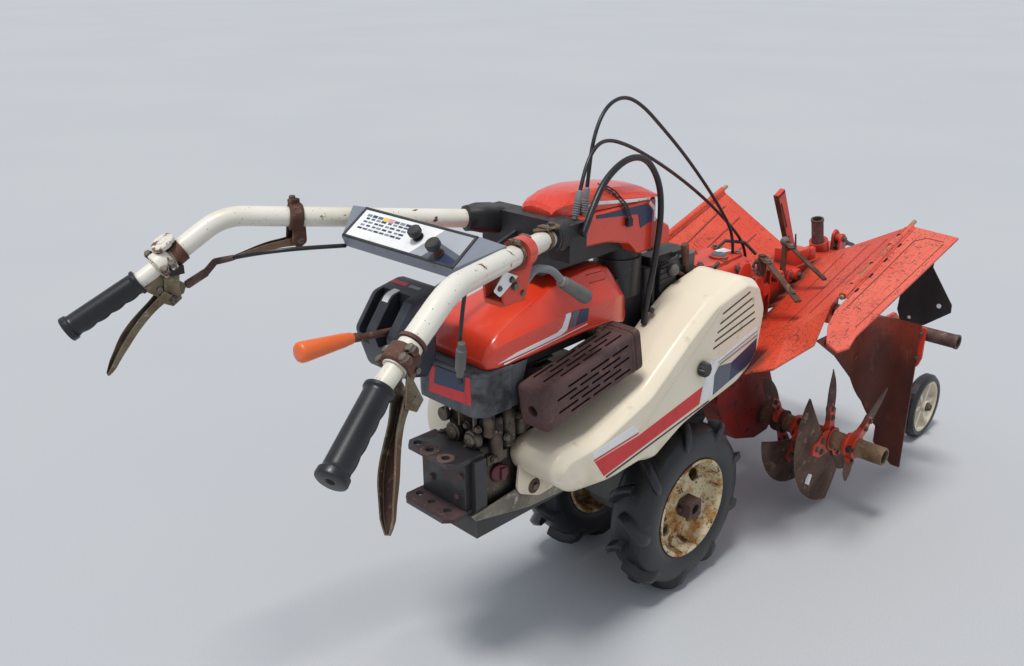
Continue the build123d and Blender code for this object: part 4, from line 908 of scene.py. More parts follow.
# Across the tyre: place, top radius, turn, half width at the top, then place and radius of the root
LUG_ROWS = (
    (-7, 193, -1.0, 6.5, -5, 168), (8, 195, 0.5, 8, 8, 168), (24, 194.5, 3.6, 8.5, 22, 166),
    (38, 190, 7.6, 9, 33, 162), (46, 180, 10.4, 9, 37, 156), (49.5, 166, 12.2, 8, 40, 149),
    (48.6, 150, 13.2, 5, 43, 142),
)


def tyre_section():
    """The tyre's closed section without its lugs, as places along Y and radii."""
    half = [
        (40, 104.2), (42, 111), (46, 117), (48, 128), (48.4, 142),
        (46.5, 156), (42, 166), (33, 172.5), (16, 175),
    ]
    return half + [(0, 175.6)] + [(-y, r) for y, r in reversed(half)]


def tyre_shape(place):
    """The tyre with two rows of lugs that lean the same way round."""
    shape = Shape("tyre", place)
    shape.ring(tyre_section())
    step = 360 / LUG_COUNT
    for number in range(LUG_COUNT):
        for side, first in ((1, 0), (-1, step / 2)):
            rings = []
            for y, r, turn, half, root_y, root_r in LUG_ROWS:
                middle = radians(number * step + first + turn)
                wide = half + 0.32 * (r - root_r)
                flank = [
                    (root_y, root_r, wide), (y * 0.96, r - 6, half + 2.2), (y, r - 1.5, half),
                    (y, r, half - 2),
                ]
                rings.append([
                    (sin(middle + off / radius) * radius, side * across, cos(middle + off / radius) * radius)
                    for across, radius, off in [(a, b, -c) for a, b, c in flank] + flank[::-1]
                ])
            shape.loft(rings)
    return shape


RIM_SECTION = [
    (41, 110), (44.5, 110.4), (46.2, 108), (46, 105), (43, 102), (38, 100.5), (20, 98.5), (13, 94),
    (9.5, 86), (8.5, 62), (12, 48), (18, 40), (21, 34), (21, 15.3), (-10, 15.3), (-10, 33), (-2, 38),
    (4, 50), (4.5, 86), (6, 93), (2, 99), (-20, 99.5), (-38, 100.5), (-43, 102), (-46, 105),
    (-46.2, 108), (-44.5, 110.4), (-41, 110), (-40.5, 104), (40.5, 104),
]
WINDOW_PLACE = 68
WINDOW_HALF = 22
WINDOW_RISE = 14


def rim_shape(place):
    """The dished rim, and the four oval windows to cut in it."""
    shape = Shape("rim", place)
    shape.ring(RIM_SECTION)
    # The windows' walls are painted near black, as shade.
    cuts = Shape("hole_shade", place)
    for number in range(4):
        turn = radians(45 + 90 * number)
        side = Vector((cos(turn), 0, -sin(turn)))
        out = Vector((sin(turn), 0, cos(turn)))
        cuts.loft([
            [
                out * (WINDOW_PLACE + WINDOW_RISE * sin(t)) + side * WINDOW_HALF * cos(t) + Vector((0, y, 0))
                for t in full_turn(24)
            ]
            for y in (-15, 30)
        ])
    return shape, cuts


def add_wheels():
    for side, name in ((1, "left"), (-1, "right")):
        place = Matrix.Translation((0, side * HALF_TRACK, TYRE_RADIUS)) @ Matrix.Scale(side, 4, (0, 1, 0))
        tyre_shape(place).make(f"tread_{name}", f"{name}_wheel", "tyre_rubber", [f"tyre_{name}"], sharp=50)
        shape, cuts = rim_shape(place)
        shape.make(f"dish_{name}", f"{name}_wheel", "rim_paint", [f"rim_{name}"], cuts=cuts, sharp=40)


add_wheels()


# Belt cover
BELT_OUTER = 182
BELT_INNER = 60
BELT_OUTLINE = [
    (350, 388), (297, 380), (200, 384), (162, 372), (73, 412), (16, 424), (-110, 445), (-159, 468),
    (-192, 504), (-206, 600), (-176, 662), (-120, 682), (-10, 660), (63, 618), (186, 532), (330, 486),
    (410, 484), (438, 462), (428, 428), (388, 394),
]
# Slots in the side face: X and Z of the rear end, X and Z of the front end
LOUVRES = (
    (-131, 650, -35, 627), (-141, 634, -28, 608), (-149, 618, -21, 591), (-154, 601, -14, 575),
    (-158, 586, -10, 560),
)
LOUVRE_WIDTH = 5
BELT_PRINTS = [
    ("print_white", [(348, 466), (233, 479), (216, 462), (344, 453)], 0.4),
    ("print_red", [(341, 446), (315, 407), (25, 452), (17, 488), (217, 453)], 0.4),
    ("print_red", [(345, 451), (343, 448), (219, 457), (217, 460)], 0.5),
    ("print_white", [
        (16, 488), (-6, 538), (-37, 531), (-169, 565), (-172, 550), (-30, 523), (-21, 500), (-20, 457),
        (18, 449),
    ], 0.4),
    ("print_slate", [(-35, 516), (-80, 510), (-77, 469), (-21, 456), (-22, 500)], 0.4),
    ("print_navy", [(-80, 510), (-171, 538), (-172, 499), (-139, 483), (-77, 469)], 0.4),
    ("print_grey", [(-37, 520), (-172, 546), (-172, 543), (-40, 517)], 0.6),
    ("print_grey", [(-32, 526), (-170, 556), (-171, 553), (-31, 523.5)], 0.6),
    ("print_dark", [(308, 400), (-9, 446), (-9, 449.5), (309, 404)], 0.4),
]
BELT_CREASE = ((214, 464), (7, 616), (-34, 650))
TAB_OUTLINE = [(424, 478), (436, 392), (430, 376), (380, 352), (340, 354), (352, 478)]
TAB_FACE = 82
# Rows along the knob: height, radius and depth of its flutes
KNOB_ROWS = ((-1, 12, 0), (2, 12.5, 0), (3, 15.5, 1.6), (13, 15, 1.8), (16, 12.5, 1.2), (16.4, 4, 0))


def add_belt_cover():
    shape = Shape("cream")
    shape.shell(rounded(BELT_OUTLINE, 15, 4), [
        (BELT_INNER, 2), (BELT_INNER + 3, 0), (BELT_INNER + 98, 0), (BELT_OUTER - 20, 1),
        (BELT_OUTER - 16, 3), (BELT_OUTER - 6, 10.5), (BELT_OUTER - 2, 14), (BELT_OUTER, 18),
    ], "y")
    # The louvres' walls and floors are painted near black, as shade.
    cuts = Shape("hole_shade")
    for x0, z0, x1, z1 in LOUVRES:
        slot = rounded(strip((x0, z0), (x1, z1), LOUVRE_WIDTH), 2.4, 3)
        cuts.prism(slot, BELT_OUTER - 14, BELT_OUTER + 5, "y")
    shell = shape.make(
        "belt_shell", "chassis", "cream_paint", ["belt_cover"], cuts=cuts, sharp=40, crisp=True,
    )
    wrap("belt_prints", shell, "y", 300, BELT_PRINTS, "chassis", "white_paint")
    crease = [("cream", strip(start, end, 3), 0.9) for start, end in zip(BELT_CREASE, BELT_CREASE[1:])]
    wrap("belt_crease", shell, "y", 300, crease, "chassis", "cream_paint")


def add_belt_tab():
    """The tab at the cover's front end, with its washer and bolt."""
    tab = Shape("cream")
    tab.prism(rounded(TAB_OUTLINE, 7), 76.2, TAB_FACE, "y")
    tab.paint("purple_steel").lathe([(-1, 15), (1, 15), (1.4, 13)], (393, TAB_FACE, 378), (0, 1, 0), 28)
    tab.bolts((0, 1, 0), 7.5, 5, (393, TAB_FACE + 1, 378))
    tab.make("belt_tab", "chassis", "cream_paint", bevel=1.2)


def add_belt_knob():
    """The fluted knob on the cover's face."""
    knob = Shape("black_plastic")
    rings = []
    for height, radius, deep in KNOB_ROWS:
        ring = []
        for number, turn in enumerate(full_turn(40)):
            out = radius - (0 if number % 4 else deep)
            ring.append(Vector((26 + sin(turn) * out, BELT_OUTER + height, 530 + cos(turn) * out)))
        rings.append(ring)
    knob.loft(rings)
    knob.make("belt_knob", "chassis", "black_plastic", ["belt_cover_knob"], sharp=35)


def add_belt_latch():
    """The wing nut on the cover's upper edge, and a plug further along it."""
    latch = Shape("bolt")
    latch.lathe([(-6, 3), (9, 3)], (-140, 88, 676), (0, 0, 1), 14)
    latch.lathe([(4, 8), (5.5, 8)], (-140, 88, 676), (0, 0, 1), 20)
    latch.plate([(-156, 82), (-126, 90), (-124, 94), (-154, 92)], 3, 683, 687, "z")
    latch.paint("black_plastic").lathe([(-4, 8), (3, 8), (6, 6)], (62, 78, 634), (-0.5, 0, 0.85), 20)
    latch.make("belt_latch", "chassis", "rusty_steel", bevel=0.6)


add_belt_cover()
add_belt_tab()
add_belt_knob()
add_belt_latch()


# Engine cover, as rows across it: place, half width and height of the lip, the crease and the crown
COVER_ROWS = (
    (508, 77, 644.5, 77, 650, 68, 654, 656), (506.5, 81, 644.5, 81, 657, 72, 662, 664),
    (500, 85, 644.6, 85, 669, 74, 676, 679), (488, 88, 644.8, 88, 678, 74, 688, 692),
    (474, 89, 645, 88.5, 684, 73, 696.5, 702), (468, 89.5, 645, 89, 685.5, 72, 699, 705),
    (450, 90, 645.5, 90, 688, 70, 705, 711), (420, 91, 646, 90.5, 691, 66, 715, 722),
    (375, 92, 648, 91, 694, 60, 727, 734), (330, 92, 650, 91, 695, 56, 738, 745),
    (270, 92, 652, 91, 696, 54, 746, 752), (222, 92, 651, 90.5, 696, 54, 750, 756.5),
    (190, 91, 648, 89, 696, 53, 748, 754), (166, 87, 640, 86, 693, 51, 740, 746),
    (148, 80, 634, 79, 688, 47, 724, 729), (134, 71, 632, 70, 680, 42, 704, 708),
    (124, 64, 634, 63, 670, 38, 684, 687), (118, 59, 640, 58, 662, 34, 668, 670),
)
VENTS = (8, 17, 26, 40, 49, 58, 67)
COVER_PRINTS = [
    ("print_white", [
        (488, 652), (443, 661), (346, 670), (334, 676), (322, 697), (309, 697.5), (322, 668), (337, 663),
        (446, 655),
    ], 0.9),
    ("print_white", strip((474, 648.6), (266, 665), 1.6), 0.7),
    ("print_slate", [(305, 697.5), (317, 668), (301, 669), (288, 697.5)], 0.8),
    ("print_navy", [(285, 697), (262, 694), (266, 671), (298, 669.5)], 0.9),
]


def add_engine_cover():
    rings = []
    for x, lip, low, wide, crease, crown, high, top in COVER_ROWS:
        slope = (high - crease) / (wide - crown)
        half = [
            (lip - 3, low), (lip, low + 0.3), (lip + 0.8, low + 3.5), (lip - 0.4, low + 5),
            (wide, crease - 2), (wide - 0.6, crease - 0.4), (wide - 2.2, crease + 1.4 * slope),
            (crown + 2.5, high - 2.5 * slope), (crown, high - 0.2),
            (crown - 3, high + (top - high) * 0.12), (crown * 0.4, high + (top - high) * 0.8), (0, top),
        ]
        rings.append([(x, y, z) for y, z in half] + [(x, -y, z) for y, z in reversed(half[:-1])])
    # The vents' walls are painted near black, as shade.
    cuts = Shape("hole_shade")
    for y in VENTS:
        for side in (-1, 1):
            height = 757 - 7 * y / 54 if y < 54 else 750 - (y - 54) * 1.5
            cuts.box((190, 236), (side * y - 1.3, side * y + 1.3), (height - 4, 764))
    shell = Shape("red_gloss").loft(rings).make(
        "cover_shell", "chassis", "red_paint", ["engine_cover"], cuts=cuts, sharp=40, crisp=True,
    )
    wrap("cover_prints", shell, "y", 200, COVER_PRINTS, "chassis", "white_paint", step=4)
    fittings = Shape("black_plastic")
    fittings.lathe([(0, 12), (5, 12), (7, 9)], (128, 40, 690), (-0.9, 0.2, 0.3), 24)
    fittings.plate([(150, -66), (440, -74), (440, 76), (150, 66)], 10, 622.5, 646, "z", 5)
    fittings.plate([(120, -50), (200, -50), (200, 52), (120, 52)], 10, 640, 662, "z", 5)
    fittings.make("cover_fittings", "chassis", "black_plastic")


add_engine_cover()


# Shroud, castings and hitch
ENGINE_FACE = 500
HITCH_TOP = 482
HITCH_LOW = 377.6
HITCH_HOLE = 8


def add_shroud():
    plan = [(456, -86), (518, -82), (532, -62), (532, 72), (512, 89), (456, 90)]
    shape = Shape("shroud")
    shape.shell(plan, [(560, 5), (560.5, 1.2), (563, 0), (634, 0), (636, -1.8), (643, -1.8), (644, 0)], "z")
    shape.make("shroud_shell", "chassis", "black_plastic", ["front_shroud"], bevel=1.6)
    sides = Shape("shroud")
    sides.prism([(455, 562), (455, 641), (416, 641), (438, 562)], 80, 88, "y")
    sides.prism([(455, 562), (455, 641), (416, 641), (438, 562)], -84, -76, "y")
    sides.make("shroud_sides", "chassis", "black_plastic", bevel=1.2)
    label = Shape("print_red")
    label.prism([(-36, 627), (68, 634), (70, 584), (-40, 576)], 531.5, 532.5, "x")
    label.paint("print_navy").prism([(-20, 631), (56, 633), (53, 604), (-26, 596)], 531.5, 533, "x")
    label.paint("black_plastic").lathe([(0, 8), (2, 8), (3, 6)], (532, 42, 624), (1, 0, 0), 24)
    label.make("shroud_label", "chassis", "red_paint")


def add_castings():
    """The open engine's castings under the shroud, as they show past the hitch."""
    shape = Shape("alloy")
    disc = [(-3, 54), (5, 54), (8, 50), (8, 34), (13, 31), (14, 17), (20, 15), (22, 10)]
    shape.lathe(disc, (ENGINE_FACE, -4, 424), (1, 0, 0), 48)
    shape.bolts((1, 0, 0), 5, 5, *[
        (ENGINE_FACE + 7, -4 + 43 * cos(turn + 0.3), 424 + 43 * sin(turn + 0.3)) for turn in full_turn(7)
    ])
    for y, z, sides, profile in (
        (39, 499, 28, [(-4, 18), (8, 17), (9, 12), (13, 12), (14, 9)]),
        (-11, 497, 28, [(-4, 19), (6, 18), (7, 14), (10, 13), (10.5, 6)]),
        (-38, 522, 24, [(-4, 13), (6, 13), (8, 9)]),
    ):
        shape.lathe(profile, (ENGINE_FACE, y, z), (1, 0, 0), sides)
    places = ((-48, 480), (22, 520), (52, 522), (-52, 548), (52, 470))
    shape.bolts((1, 0, 0), 6, 6, *[(ENGINE_FACE, y, z) for y, z in places])
    for y in (-30, 6, 44):
        shape.loft([[(499, y - 3, z), (499, y + 3, z), (506, y + 2, z), (506, y - 2, z)] for z in (516, 552)])
    pillars = ((468, 452, 540, 13), (440, 474, 552, 15), (410, 486, 556, 12), (484, 505, 556, 11))
    for x, low, high, radius in pillars:
        rows = [(0, radius - 4), (4, radius), (high - low - 6, radius), (high - low, radius - 3)]
        shape.lathe(rows, (x, 60, low), (0, 0, 1), 24)
    shape.box((398, 492), (56, 68), (548, 560))
    shape.box((446, 494), (56, 66), (452, 470))
    shape.bolts((0, 1, 0), 6, 5, (480, 68, 462), (424, 70, 530), (456, 75, 500))
    cap = [(-6, 13), (2, 17), (10, 17), (12, 14), (12.5, 5)]
    shape.paint("maroon").lathe(cap, (462, 58, 428), (0.35, 0.94, -0.05), 30)
    shape.box((458, 468), (69, 76), (416, 440))
    shape.paint("brown_rust").tube([(505, -20, 470), (515, -6, 478), (513, 20, 476), (505, 32, 488)], 3.5, 12)
    shape.make("engine_castings", "chassis", "engine_alloy", bevel=0.8, sharp=35)


def add_hitch_rings():
    """The rusty rings round two of the upper plate's holes, the bolts, and the lower plate's rusty skin."""
    shape = Shape("purple_steel")
    cuts = Shape("purple_steel")
    for y, radius in ((-8, 18), (34, 16)):
        section = [(-0.6, radius), (1.6, radius - 0.6), (2.6, radius - 3), (2.6, 9.5), (1.6, 8.6)]
        shape.lathe(section, (562, y, HITCH_TOP), (0, 0, 1), 40)
        cuts.rod((562, y, HITCH_TOP - 12), (562, y, HITCH_TOP + 8), HITCH_HOLE)
    shape.bolts((1, 0, 0), 6, 5, (542, -28, 414)).bolts((1, 0, 0), 5, 4, (542, 50, 446), (542, 40, 402))
    shape.make("hitch_rings", "chassis", "rusty_steel", cuts=cuts, sharp=40)
    skin = Shape("plate_rust")
    plate = [(542.5, -64), (575, -64), (587, -52), (587, 52), (575, 64), (542.5, 64)]
    skin.prism(plate, HITCH_LOW, HITCH_LOW + 1.3, "z")
    holes = Shape("plate_rust")
    for x, y in ((558, -46), (562, -8), (562, 34)):
        holes.rod((x, y, HITCH_LOW - 7.6), (x, y, HITCH_LOW + 8.4), HITCH_HOLE)
    skin.make("low_plate_skin", "chassis", "rusty_steel", cuts=holes)


add_shroud()
add_castings()
add_hitch_rings()


# Muffler
MUFFLER_FRONT = (441, 121, 563)
MUFFLER_LENGTH = 263
MUFFLER_WIDTH = 68
MUFFLER_HEIGHT = 84
MUFFLER_TILT = 10.5
SLOT_LENGTH = 50
SLOT_GAP = 9
SLOT_WIDTH = 5
SLOT_MARGIN = 32
SLOT_PITCH = 12.5


def slot_row(row):
    """The stretches of one row of slots, every other row shifted by half a slot."""
    start = -SLOT_MARGIN - (row % 2) * (SLOT_LENGTH + SLOT_GAP) / 2
    while start > SLOT_MARGIN + 24 - MUFFLER_LENGTH:
        yield max(start - SLOT_LENGTH, SLOT_MARGIN + 6 - MUFFLER_LENGTH), start
        start -= SLOT_LENGTH + SLOT_GAP


def slot_width(row):
    """From one side of a row of slots to the other."""
    return (row * SLOT_PITCH - SLOT_WIDTH / 2, row * SLOT_PITCH + SLOT_WIDTH / 2)


def add_muffler():
    place = Matrix.Translation(MUFFLER_FRONT) @ Matrix.Rotation(radians(MUFFLER_TILT), 4, "Y")
    half, tall = MUFFLER_WIDTH / 2, MUFFLER_HEIGHT / 2
    outline = rounded([(-half, -tall), (half, -tall), (half, tall), (-half, tall)], 13, 4)
    shape = Shape("muffler", place)
    back = -MUFFLER_LENGTH
    shape.shell(outline, [
        (0, 10), (-1.5, 5), (-5, 1.4), (-11, 0), (back + 30, 0), (back + 29, -1.2), (back + 24, -1.2),
        (back + 23, 0.6), (back + 20, 0.6), (back + 19, -1.2), (back + 5, -1.2), (back + 2, 1.2),
        (back, 6),
    ], "x")
    # The slots' and the outlet's walls are painted near black, as shade.
    cuts = Shape("hole_shade", place)
    cuts.rod((-24, 3, -2), (5, 3, -2), 11)
    for row in range(4):
        width = slot_width(row - 1.5)
        for stretch in slot_row(row):
            cuts.box(stretch, width, (tall - 5, tall + 5))
    for row in range(5):
        width = slot_width(row - 2)
        for stretch in slot_row(row + 1):
            cuts.box(stretch, (half - 5, half + 5), width)
    shape.make("muffler_box", "chassis", "muffler_rust", ["muffler"], cuts=cuts, sharp=40, crisp=True)


def add_muffler_pipe():
    """The pipe between the muffler and the engine, and the muffler's bracket."""
    pipe = Shape("muffler")
    pipe.rod((380, 56.2, 590), (380, 100, 590), 14)
    pipe.paint("brown_rust").box((212, 240), (60, 92), (618, 624))
    pipe.plate([(226, 618), (246, 618), (240, 648), (230, 648)], 4, 88, 92, "y")
    pipe.bolts((0, 1, 0), 6, 4, (235, 92, 640))
    pipe.make("muffler_pipe", "chassis", "muffler_rust", bevel=0.8)


add_muffler()
add_muffler_pipe()


# Base cover of the handle
BASE_SIDE = [
    (0, 757), (102, 756), (129, 782), (196, 799), (262, 804), (298, 842), (298, 860), (52, 860),
    (52, 818), (2, 793),
]
# The lid, as rows along it: place, half width near and far, lower edge, height at the side and at the top
LID_ROWS = (
    (320, 40, 28, 866, 872, 878), (314, 43, 33, 862, 878, 886), (300, 47, 38, 860, 883, 893),
    (280, 51, 44, 860, 884.5, 898), (250, 56, 52, 860, 884, 899.5), (210, 62, 61, 860, 881, 899),
    (150, 71, 69, 860, 874, 892), (100, 73.5, 71, 860, 869, 885.5), (66, 75, 71.5, 860, 864, 879),
    (50, 74, 71, 860, 862, 872), (45, 70, 68, 860, 861, 866),
)
BASE_PRINTS = [
    ("print_white", [(246, 873), (222, 878.5), (76, 862), (75, 856.5), (220, 872)], 0.9),
    ("print_white", [(74, 855), (53, 836), (54, 812), (59.5, 812), (60, 833), (78, 850)], 0.9),
    ("print_navy", [(236, 857), (84, 850), (66, 834), (67, 815), (102, 808), (110, 836), (234, 851)], 1.2),
]


def add_base_cover():
    shape = Shape("red_gloss", HANDLE)
    shape.shell(rounded(BASE_SIDE, 9, 3), [(-66, 4), (-63, 0.5), (-56, 0), (62, 0), (69, 0.5), (72, 4)], "y")
    rings = []
    for x, near, far, low, side, top in LID_ROWS:
        halves = []
        for half in (near, -far):
            edge = half - 4 if half > 0 else half + 4
            halves.append([
                (x, edge, low), (x, half, low + 1), (x, half, side - 3), (x, edge, side + 1),
                (x, half * 0.6, top - 3), (x, half * 0.25, top - 0.4),
            ])
        rings.append(halves[0] + [(x, 0, top)] + halves[1][::-1])
    shape.loft(rings)
    lid = shape.make("base_lid", "handle", "red_paint", ["base_cover"], sharp=22, crisp=True)
    wrap("base_prints", lid, "y", 200, BASE_PRINTS, "handle", "white_paint", HANDLE)


def add_base_strap():
    """The rubber strap over the base's cover, like a short ladder."""
    strap = Shape("black_plastic", HANDLE)
    for offset in (-4.5, 4.5):
        rail = ((176, 30, 899), (172, 60, 888), (156, 76, 862), (142, 77.5, 832))
        strap.tube([(x + offset, y, z) for x, y, z in rail], 1.4, 8)
    for rung in range(11):
        x, y, z = 174 - rung * 3.2, 46 + min(rung, 5) * 6.3, 894 - rung * 6
        strap.tube([(x - 5, y, z), (x + 5, y, z)], 1.2, 8)
    strap.box((136, 150), (74, 80), (820, 834))
    strap.make("base_strap", "handle", "black_plastic")


add_base_cover()
add_base_strap()


# Handle: bars, grips and levers, laid out straight ahead and turned with HANDLE
BAR_ROOT = (332, 80, 846)
BAR_BOOT = (392, 97, 853)
BAR_KNEE = (402.8, 100.1, 854.3)
BAR_BEND = (770, 266, 901)
GRIP_INNER = (912, 293, 818)
GRIP_OUTER = (1018, 333, 757)
GRIP_RADIUS = 17.3
GRIP_STEPS = 40
WAVE_START = 9
LEVER_ROOT = (868, 287, 790)
LEVER_TIPS = ((1, (943, 333, 652)), (-1, (966, 333, 666)))
# Along a side lever: share of its length, half width and depth
LEVER_CHANNEL = ((0, 11, 18), (0.22, 8.5, 14), (0.6, 13.5, 12), (0.86, 11, 9), (0.97, 7, 7), (1, 4, 5))


def at_side(point, side):
    return Vector((point[0], side * point[1], point[2]))


def along(start, end, share):
    return Vector(start).lerp(Vector(end), share)


def grip_rows(length):
    """Rows along a grip: distance, radius, and 1 where the rubber has finger waves."""
    rows = [(-2, 14, 0), (-2, 18.5, 0), (-1, 20.2, 0), (3, 20.2, 0), (4.5, 18.2, 0), (7, 17.4, 0)]
    for step in range(GRIP_STEPS + 1):
        rows.append((WAVE_START + (length - 27) * step / GRIP_STEPS, GRIP_RADIUS, 1))
    return rows + [
        (length - 15, 17.4, 0), (length - 12, 18, 0), (length - 10, 20.2, 0), (length - 3, 20.6, 0),
        (length - 1, 20, 0), (length, 18.4, 0), (length + 0.2, 6, 0), (length - 3, 4, 0),
    ]


def add_grips():
    """Grips with four finger waves underneath and fine ribs all round the rest."""
    shape = Shape("grip_rubber", HANDLE)
    for side in (1, -1):
        inner, outer = at_side(GRIP_INNER, side), at_side(GRIP_OUTER, side)
        ahead = (outer - inner).normalized()
        length = (outer - inner).length
        down = Vector((-0.5, 0, -0.85))
        down = (down - ahead * down.dot(ahead)).normalized()
        other = ahead.cross(down)
        rings = []
        for distance, radius, waved in grip_rows(length):
            ring = []
            for number, turn in enumerate(full_turn(44)):
                under = max(0.0, cos(turn)) ** 1.5
                wave = 2.4 * abs(sin(pi * (distance - WAVE_START) / ((length - 27) / 4.0))) - 0.7
                rib = 0.35 if number % 2 and cos(turn) < 0.35 else 0
                out = radius + waved * (under * wave + rib)
                ring.append(inner + ahead * distance + (down * cos(turn) + other * sin(turn)) * out)
            rings.append(ring)
        shape.loft(rings)
    shape.make("ribbed_grips", "handle", "grip_rubber", ["grips"], sharp=40)


add_grips()


def channel(shape, start, end, toward, rows, bow, steps=18):
    """A folded channel from one point to another, open towards a direction, bowed by an amount."""
    ahead = (Vector(end) - Vector(start)).normalized()
    length = (Vector(end) - Vector(start)).length
    open_side = (Vector(toward) - ahead * Vector(toward).dot(ahead)).normalized()
    wide_side = ahead.cross(open_side)
    outer, liner = [], []
    for step in range(steps + 1):
        share = step / steps
        first, second = next(pair for pair in zip(rows, rows[1:]) if share <= pair[1][0] + 1e-6)
        part = (share - first[0]) / (second[0] - first[0])
        part = part * part * (3 - 2 * part)
        half = first[1] + (second[1] - first[1]) * part
        deep = first[2] + (second[2] - first[2]) * part
        middle = Vector(start) + ahead * length * share
        middle += open_side * (bow * sin(pi * share) ** 1.2 - deep / 2)
        def spots(points):
            return [middle + wide_side * w + open_side * d for w, d in points]
        outer.append(spots([
            (-half, deep), (-half, 3), (-half + 3, 0), (half - 3, 0), (half, 3), (half, deep),
            (half - 2.2, deep), (half - 2.2, 3.5), (half - 4, 2.2), (4 - half, 2.2), (2.2 - half, 3.5),
            (2.2 - half, deep),
        ]))
        liner.append(spots([(3 - half, 2), (half - 3, 2), (half - 3, 2.8), (3 - half, 2.8)]))
    current = shape.finishes[shape.current]
    shape.loft(outer)
    shape.paint("brown_rust").loft(liner)
    shape.paint(current)


def add_lever_clamp(shape, side, middle, bar_line, down, flat):
    """The band of a side lever round its bar, with its ears and bolts."""
    shape.paint("brown_rust" if side > 0 else "white_cap")
    band = [(-13, 17), (-13, 20), (-11.5, 21.8), (11.5, 21.8), (13, 20), (13, 17)]
    shape.lathe(band, middle, bar_line, 40)
    shape.lathe([(-30, 16.8), (-29, 19), (-24, 19.6), (-23, 17)], middle, bar_line, 40)
    for offset in (-7, 8):
        for way in (-1, 1):
            ear = middle + flat * way * 23 + bar_line * offset - down * 6
            shape.lathe([(-5, 6), (5, 6)], ear, flat, 14)
            shape.bolts(-down, 6, 5, ear - down * 3).paint("brown_rust")


def add_lever_bracket(shape, middle, root, bar_line, down, flat):
    """The two cheeks of a side lever's bracket, with its pin and bolts."""
    shape.paint("bracket_rust")
    for way in (-1, 1):
        low = middle + flat * way * 13
        foot = root + flat * way * 12
        cheek = [
            low - bar_line * 16 + down * 12, low + bar_line * 14 + down * 10,
            foot + bar_line * 16, foot + down * 16 + bar_line * 8,
            foot + down * 14 - bar_line * 10, foot - bar_line * 18 - down * 12,
        ]
        shape.loft([[point + flat * off for point in cheek] for off in (-1.4, 1.4)])
        shape.bolts(flat * way, 5.5, 4, root + flat * way * 13 + down * 4)
        shape.bolts(flat * way, 4, 3, middle + flat * way * 14 + down * 19 + bar_line * 2)
    shape.lathe([(-15, 3), (15, 3)], root + down * 4, flat, 12)


def add_side_levers():
    shape = Shape("lever_rust", HANDLE)
    for side, tip in LEVER_TIPS:
        bend, inner, outer = (at_side(point, side) for point in (BAR_BEND, GRIP_INNER, GRIP_OUTER))
        root, tip = at_side(LEVER_ROOT, side), at_side(tip, side)
        bar_line = (inner - bend).normalized()
        down = (tip - root).normalized()
        down = (down - bar_line * down.dot(bar_line)).normalized()
        flat = bar_line.cross(down) * side
        middle = along(bend, inner, 0.71)
        add_lever_clamp(shape, side, middle, bar_line, down, flat)
        add_lever_bracket(shape, middle, root, bar_line, down, flat)
        channel(shape, root - down * 6, tip, outer - inner, LEVER_CHANNEL, 10)
    shape.make("brake_levers", "handle", "rusty_steel", ["side_levers"], sharp=35)


add_side_levers()


# Console between the bars
CONSOLE_TOP = Vector((584, 0, 903))
CONSOLE_FOOT = Vector((639, 0, 866))
CONSOLE_HALF = 131
CONSOLE_TALL = (CONSOLE_FOOT - CONSOLE_TOP).length
CONSOLE_FALL = (CONSOLE_FOOT - CONSOLE_TOP).normalized()
CONSOLE_UP = Vector((-CONSOLE_FALL.z, 0, CONSOLE_FALL.x))
# Colour fields: tone, place of the left edge's top, upper right corner, place of the lower one, and height
CONSOLE_FIELDS = (
    ("console", 5, (-62, 5), -30, 1.1), ("print_slate", 42, (-76, 30), -58, 1.4),
    ("print_navy", 52, (-92, 44), -84, 1.6),
)
CONSOLE_TONES = ("print_navy", "print_slate", "print_grey")


def add_console():
    """The console's frame, and its face with colour fields and rows of plain dashes."""
    fall, up, half, tall = CONSOLE_FALL, CONSOLE_UP, CONSOLE_HALF, CONSOLE_TALL
    turn = Matrix(((0, fall.x, up.x), (-1, fall.y, up.y), (0, fall.z, up.z))).to_4x4()
    place = HANDLE @ Matrix.Translation(CONSOLE_TOP) @ turn
    edge = Shape("black_plastic", place)
    for y in ((0.4, 5), (tall - 5, tall - 0.4)):
        edge.box((0.4 - half, half - 0.4), y, (-2, 2.4))
    for x in ((0.4 - half, 5.5 - half), (half - 5.5, half - 0.4)):
        edge.box(x, (0.4, tall - 0.4), (-2, 2.4))
    edge.make("console_frame", "handle", "black_plastic", bevel=1.2)
    face = Shape("print_white", place)
    face.box((5 - half, half - 5), (4.5, tall - 4.5), (-1, 0.8))
    for tone, edge_y, corner, foot_x, high in CONSOLE_FIELDS:
        field = [(5 - half, edge_y), corner, (foot_x, tall - 5), (5 - half, tall - 5)]
        face.paint(tone).prism(field, 0.5, high, "z")
    for row in range(5):
        for column in range(8):
            low, left = 12 + row * 7, 8 + column * 13.5
            face.paint(CONSOLE_TONES[(row + 2 * column) % 3])
            face.box((left, left + 11 - (row * column) % 4), (low, low + (3.6 if row else 5)), (0.5, 1.1))
    for tone, left in (("sun_yellow", 62), ("pale_pink", 48)):
        face.paint(tone).box((left, left + 12), (11, 18.5), (0.5, 1.3))
    face.make("console_face", "handle", "console_face")


